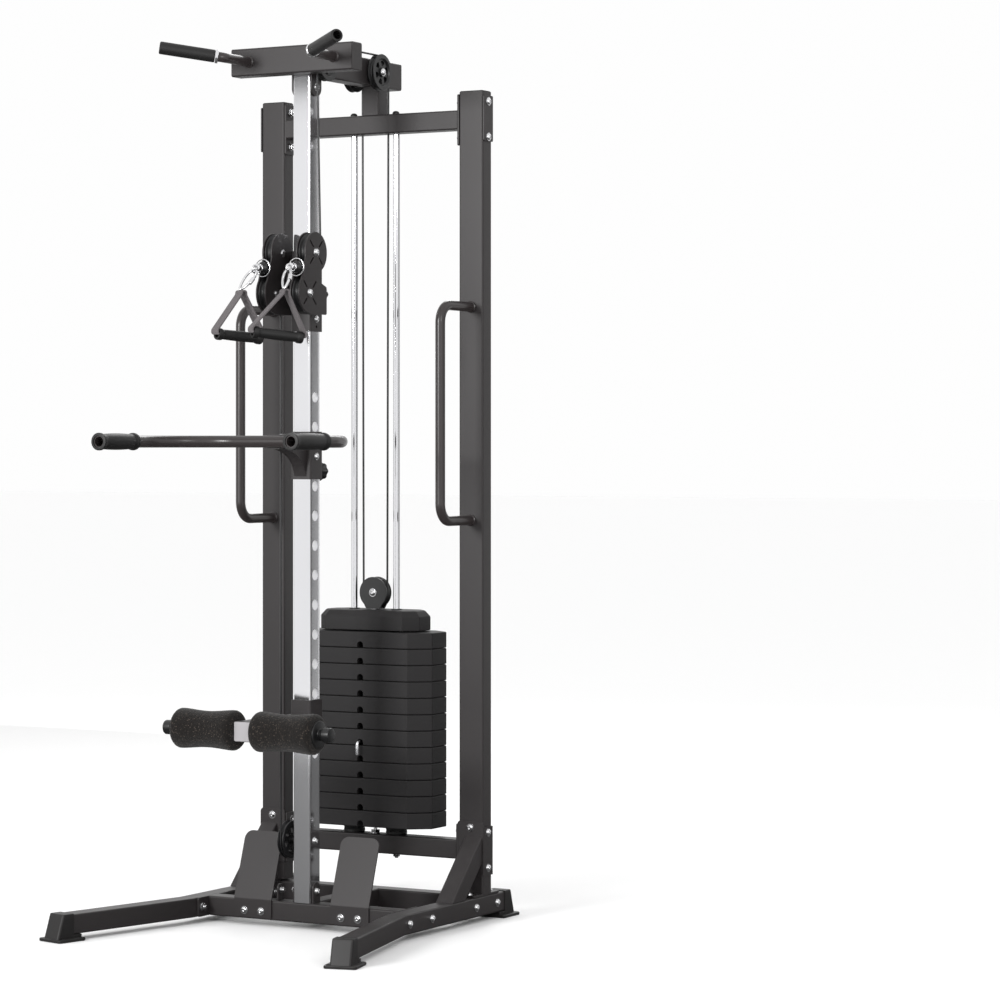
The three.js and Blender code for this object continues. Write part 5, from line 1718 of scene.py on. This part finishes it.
@dataclass
class Handle:
    """A cable end and its strap handle: ball, swivel, shackle, snap hook, webbing and grip."""

    side: str
    lane: float
    apex: Point
    turn: float
    lean: float
    slide: float
    twist: float
    ball: Point = (50.0, -99.0, 1667.0)
    drop: float = 112.0
    half: float = 72.0
    webbing: float = 30.0

    @property
    def place(self) -> Point:
        """Where the ball is, on this handle's own side."""
        return (math.copysign(self.ball[0], self.lane), self.ball[1], self.ball[2])

    def hardware(self, shop: Workshop) -> None:
        """The ball with its cup, the swivel, the shackle and the snap hook."""
        body = f"end_{self.side}"
        angle = np.linspace(-math.pi / 2, math.pi / 2, 19)
        ball = lathe(
            [(17 * math.cos(a), 17 * math.sin(a)) for a in angle], 36
        ).placed(Axis.BACK_Y, self.place)
        shop.piece(f"ball_{self.side}", ball, "plastic", body, replaces=[f"cable_end_{self.side}"])
        cup = lathe([(0, 14.5), (8.5, 14.5), (9.4, 15.5), (9.4, 18.5), (7, 20), (6, 22), (0, 22)], 32)
        barrel = lathe([(0, 21), (9, 21), (10, 22), (10, 33), (9, 34.5), (6, 35.5), (6, 38), (0, 38)], 28)
        x, y, z = self.place
        turns = np.linspace(0, 2 * math.pi, 49)
        hoop = np.column_stack([x + 21.6 * np.cos(turns), np.full(49, y - 5.0), z + 21.6 * np.sin(turns)])
        hoop[-1] = hoop[0]
        hoop = sweep(circle(1.6, 10), hoop, (0, 1, 0), loop=True)
        shop.piece(
            f"cup_{self.side}", [*(s.placed(Axis.BACK_Y, self.place) for s in (cup, barrel)), hoop],
            "steel", body,
        )
        eye = arc_yz(x, (y - 42, z - 4), 8.5, 0, 360, 24)
        ring = sweep(circle(3.0, 12), eye, (1, 0, 0), loop=True)
        start = np.array([x, y - 44.0, z - 10])
        end = np.array([self.apex[0], self.apex[1], self.apex[2] + 2])
        along = (end - start) / np.linalg.norm(end - start)
        reach = np.linalg.norm(end - start) / 2 + 4
        side = np.cross(along, (0, 1.0, 0))
        side /= np.linalg.norm(side)
        t = np.linspace(0, 2 * math.pi, 41)
        width = 11 + 3.5 * np.cos(t)
        loop = (start + end) / 2 + np.outer(reach * np.cos(t + math.pi), along) + np.outer(
            width * np.sin(t + math.pi), side
        )
        loop[-1] = loop[0]
        hook = sweep(circle(3.4, 12), loop, tuple(np.cross(side, along)), loop=True)
        gate = lathe([(0, -9), (4.6, -9), (5.2, -8), (5.2, 8), (4.6, 9), (0, 9)], 16)
        turn = np.column_stack([side, np.cross(along, side), along])
        middle = (start + end) / 2 + side * 11.5
        shop.piece(f"hook_{self.side}", [ring, hook, gate.turned(turn).moved(tuple(middle))], "steel", body)

    def strap(self, shop: Workshop) -> None:
        """One loop of webbing over the hook and through the hollow grip, and the rubber grip round it."""
        body = f"grip_{self.side}"
        heading, lean = math.radians(self.turn), math.radians(self.lean)
        spin = about_z(heading)
        tilt = np.array(
            [[math.cos(lean), 0, math.sin(lean)], [0, 1, 0], [-math.sin(lean), 0, math.cos(lean)]]
        )
        at = np.array([self.apex[0], self.apex[1], self.apex[2] - 6])

        def hang(skin: Skin) -> Skin:
            """Leans the shape about the strap's top, turns it to its heading and hangs it on the hook."""
            return skin.moved((0, 0, 9)).turned(spin @ tilt).moved(tuple(at - np.array([0, 0, 9])))

        left, right = self.slide - self.half, self.slide + self.half
        corners = [
            (0, 0, 1), (6, 0, 1), (7, 0, -9), (right, 0, -self.drop + 10), (right, 0, -self.drop),
            (0, 0, -self.drop),
        ]
        there = bend_path(corners, 5, 5)
        corners = [
            (0, 0, -self.drop), (left, 0, -self.drop), (left, 0, -self.drop + 10), (-7, 0, -9), (-6, 0, 1),
            (0, 0, 1),
        ]
        back = bend_path(corners, 5, 5)
        ring = np.vstack([there[:-1], back])
        inside = (ring[:, 2] < 8 - self.drop) & (ring[:, 0] < right - 4) & (ring[:, 0] > left + 4)
        legs = (ring[:, 2] < -28) & (ring[:, 2] > 14 - self.drop)
        skew = np.where(legs, math.radians(self.twist), 0.0)
        share = np.where(inside, 0.55, 1.0)
        edge = rounded_box(4.0, self.webbing, 1.2, 3)[None] * np.stack(
            [np.ones_like(share), share], axis=-1
        )[:, None]
        c, n = np.cos(skew)[:, None], np.sin(skew)[:, None]
        edge = np.stack([edge[..., 0] * c - edge[..., 1] * n, edge[..., 0] * n + edge[..., 1] * c], axis=-1)
        webbing = sweep(edge, ring, (0, 1, 0), loop=True)
        shop.piece(f"strap_{self.side}", hang(webbing), "webbing", body, replaces=[f"handle_{self.side}"])
        end = self.half
        barrel = [
            (12.3 + 0.9 * math.sin(math.pi * v), (end - 22) * (2 * v - 1)) for v in np.linspace(0, 1, 15)
        ]
        tail = [
            (13.4, end - 20), (14.4, end - 19), (15, end - 16), (15, end - 8), (14, end - 5.5),
            (10, end - 5), (9, end - 6), (8.6, end - 26), (0, end - 26),
        ]
        nose = [(r, -z) for r, z in reversed(tail)]
        grip = lathe([*nose, *barrel, *tail], 36).placed(Axis.X, (self.slide, 0, -self.drop))
        shop.piece(f"grip_rubber_{self.side}", hang(grip), "rubber", body)

    def build(self, shop: Workshop) -> None:
        """Makes the cable's end and what hangs on it."""
        self.hardware(shop)
        self.strap(shop)


# ------------------------------------------------------------------ the cables


@dataclass
class Cables:
    """Sheathed cable: wrapped lengths on the pulleys, and straight runs from one body to another, attached to
    none.
    """

    radius: float = 2.7
    wheel: float = 43.5
    lane: float = 50.0
    top: float = 2193.0
    top_x: float = 39.5
    rear_y: float = 320.5
    left_y: float = 111.0
    right_y: float = 53.6
    low: tuple[float, float] = (24.0, 222.0)
    upper: tuple[float, float] = (-33.4, 1706.8)
    lower: tuple[float, float] = (-63.0, 1604.4)
    float_z: float = 837.0
    float_cable: float = 36.0
    ball: tuple[float, float] = (-99.0, 1667.0)

    def tube(self, path: Sequence[Point], up: Point = (1, 0, 0)) -> Skin:
        """A round cable along a path."""
        return sweep(circle(self.radius, 14), path, up)

    def wrapped(self, shop: Workshop) -> None:
        """The lengths that stay on the frame's pulleys, and the one under the floating pulley."""
        left, right = -self.top_x, self.top_x
        stack_y = self.rear_y + self.wheel
        route = [
            (-self.lane, self.low[0] - self.wheel, self.low[1] + 2.2),
            *arc_yz(-self.lane, self.low, self.wheel, -180, 0, 28),
            *arc_yz(left, (self.left_y, self.top), self.wheel, 180, 90, 14),
            *arc_yz(left, (self.rear_y, self.top), self.wheel, 90, 0, 14),
            (left, stack_y, self.top - 2.2),
        ]
        shop.piece("cable_long", self.tube(route), "sheath", "frame", replaces=["cable_left_upper"])
        route = [
            (right, self.right_y - self.wheel, self.top - 2.2),
            *arc_yz(right, (self.right_y, self.top), self.wheel, 180, 90, 14),
            *arc_yz(right, (self.rear_y, self.top), self.wheel, 90, 0, 14),
            (right, stack_y, self.top - 2.2),
        ]
        shop.piece("cable_short", self.tube(route), "sheath", "frame", replaces=["cable_right_upper"])
        angle = np.linspace(math.pi, 2 * math.pi, 25)
        under = np.column_stack(
            [
                self.float_cable * np.cos(angle), np.full(25, stack_y),
                self.float_z + self.float_cable * np.sin(angle),
            ]
        )
        ends = [
            (-self.float_cable, stack_y, self.float_z + 2.2),
            (self.float_cable, stack_y, self.float_z + 2.2),
        ]
        shop.piece(
            "cable_under", self.tube([ends[0], *under, ends[1]], (0, 1, 0)), "sheath", "stack",
            replaces=["cable_float"],
        )

    def run(
        self, shop: Workshop, name: str, node: str, start: Point, end: Point
    ) -> None:
        """A straight run with rings only at its ends, baked in place and attached to no body."""
        piece = shop.piece(
            name, self.tube([start, end], (1, 0, 0)), "sheath", None, replaces=[node] if node else []
        )
        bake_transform(piece)

    def off_wheel(self, centre: tuple[float, float], sense: int) -> tuple[np.ndarray, float]:
        """Where a cable leaves a carriage pulley towards the ball.

        Args:
            centre: the pulley's middle, in Y and Z.
            sense: 1 where the cable goes over the pulley, -1 where it goes under.

        Returns:
            The arc's points, without X, and the angle in degrees at which it ends: the ball's direction
            from the middle, less the angle whose cosine is the radius over the distance.
        """
        dy, dz = self.ball[0] - centre[0], self.ball[1] - centre[1]
        leave = math.degrees(math.atan2(dz, dy) - sense * math.acos(self.wheel / math.hypot(dy, dz)))
        return arc_yz(0, centre, self.wheel, 0, leave, 16), leave

    def build(self, shop: Workshop) -> None:
        """Makes every length of cable."""
        self.wrapped(shop)
        stack_y = self.rear_y + self.wheel
        low_y = self.low[0] - self.wheel
        drop_y = self.right_y - self.wheel
        self.run(
            shop, "run_left", "cable_left_run", (-self.lane, low_y, self.low[1] + 2),
            (-self.lane, low_y, self.lower[1] - 2),
        )
        self.run(
            shop, "run_right", "cable_right_run", (self.top_x, drop_y, self.top - 2),
            (self.lane, drop_y, self.upper[1] + 2),
        )
        for side, sign in (("left", -1), ("right", 1)):
            start, end = (sign * self.top_x, stack_y, self.top - 2), (
                sign * self.float_cable, stack_y, self.float_z + 2
            )
            self.run(shop, f"run_stack_{side}", f"cable_stack_{side}", start, end)
            centre, sense = (self.lower, 1) if sign < 0 else (self.upper, -1)
            arc, _ = self.off_wheel(centre, sense)
            arc = arc + np.array([sign * self.lane, 0, 0])
            begin = (sign * self.lane, centre[0] + self.wheel, centre[1] - sense * 2.2)
            shop.piece(
                f"cable_turn_{side}", self.tube([begin, *arc]), "sheath", "carriage",
                replaces=[f"cable_carriage_{side}"],
            )
            last = arc[-1]
            ball = np.array([sign * self.lane, *self.ball])
            tip = last + (ball - last) * (1 - 14 / np.linalg.norm(ball - last))
            self.run(shop, f"run_hand_{side}", "", tuple(last), tuple(tip))


# ------------------------------------------------------------------ studio


@dataclass
class Studio:
    """Camera, floor and lights."""

    eye: Point = (4.480, -7.136, 1.231)
    look: Point = (-0.503, 0.864, 0.0)
    lens: float = 120.0
    shift: tuple[float, float] = (0.087, -0.058)
    floor_size: float = 120.0

    def camera(self) -> None:
        """A level camera, shifted so that the machine stands left of the middle."""
        data = bpy.data.cameras.new("camera")
        data.lens = self.lens
        data.sensor_width = 36
        data.shift_x, data.shift_y = self.shift
        data.clip_end = 200
        camera = bpy.data.objects.new("camera", data)
        camera.location = self.eye
        camera.rotation_euler = Vector(self.look).to_track_quat("-Z", "Y").to_euler()
        bpy.context.scene.collection.objects.link(camera)
        bpy.context.scene.camera = camera

    def light(self, name: str, place: Point, size: float, power: float) -> None:
        """A square area light that faces the machine's middle."""
        data = bpy.data.lights.new(name, "AREA")
        data.shape = "SQUARE"
        data.size = size
        data.energy = power
        lamp = bpy.data.objects.new(name, data)
        lamp.location = place
        lamp.rotation_euler = (Vector((0, 0, 1.1)) - Vector(place)).to_track_quat("-Z", "Y").to_euler()
        bpy.context.scene.collection.objects.link(lamp)

    @staticmethod
    def flag(name: str, place: Point, size: tuple[float, float]) -> None:
        """A dark card that only shows in reflections, and gives bright metal its dark bands."""
        a, b = size[0] / 2, size[1] / 2
        mesh = bpy.data.meshes.new(name)
        mesh.from_pydata([(-a, -b, 0), (a, -b, 0), (a, b, 0), (-a, b, 0)], [], [(0, 1, 2, 3)])
        card = bpy.data.objects.new(name, mesh)
        card.location = place
        card.rotation_euler = (Vector((0, 0, 1.1)) - Vector(place)).to_track_quat("Z", "Y").to_euler()
        cloth = bpy.data.materials.new(name)
        cloth.use_nodes = True
        shader = cloth.node_tree.nodes["Principled BSDF"]
        shader.inputs["Base Color"].default_value = (0.08, 0.08, 0.08, 1)
        shader.inputs["Roughness"].default_value = 0.9
        mesh.materials.append(cloth)
        bpy.context.scene.collection.objects.link(card)
        card.visible_camera = False
        card.visible_diffuse = False
        card.visible_shadow = False

    def build(self) -> None:
        """Makes the studio."""
        self.camera()
        half = self.floor_size / 2
        mesh = bpy.data.meshes.new("floor")
        mesh.from_pydata(
            [(-half, -half, 0), (half, -half, 0), (half, half, 0), (-half, half, 0)], [], [(0, 1, 2, 3)]
        )
        floor = bpy.data.objects.new("floor", mesh)
        bpy.context.scene.collection.objects.link(floor)
        paint = bpy.data.materials.new("floor")
        paint.use_nodes = True
        shader = paint.node_tree.nodes["Principled BSDF"]
        shader.inputs["Base Color"].default_value = (0.98, 0.98, 0.98, 1)
        shader.inputs["Roughness"].default_value = 0.6
        mesh.materials.append(paint)
        world = bpy.data.worlds.new("studio")
        world.use_nodes = True
        background = world.node_tree.nodes["Background"]
        background.inputs["Color"].default_value = (1, 1, 1, 1)
        background.inputs["Strength"].default_value = 0.99
        bpy.context.scene.world = world
        bpy.context.scene.view_settings.view_transform = "Standard"
        self.light("key", (-1.3, -5.6, 2.5), 1.5, 240)
        self.light("fill", (4.6, -3.4, 3.0), 1.4, 60)
        self.light("rim", (-1.5, 4.5, 4.2), 2.0, 60)
        self.flag("flag_side", (4.6, 4.2, 1.4), (3.6, 3.2))
        self.flag("flag_top", (-2.7, -4.9, 3.75), (3.2, 2.2))
        self.flag("flag_floor", (0.0, 0.0, 0.003), (9.0, 9.0))


# ------------------------------------------------------------------ main


def main() -> None:
    """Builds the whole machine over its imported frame."""
    logging.basicConfig(level=logging.INFO, format="%(message)s")
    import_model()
    Studio().build()
    shop = Workshop()
    handles = (
        Handle("right", 50.0, (64.0, -181.0, 1612.0), 56.0, 5.5, -10.0, 30.0),
        Handle("left", -50.0, (-64.0, -181.0, 1612.0), 68.0, 4.0, 0.0, 15.0),
    )
    for part in (
        Base(), Tower(), Head(), Post(), Stack(), Carriage(), DipStation(), LegHold(), *handles, Cables()
    ):
        part.build(shop)
    log.info("%d pieces", shop.made)


if __name__ == "__main__":
    main()
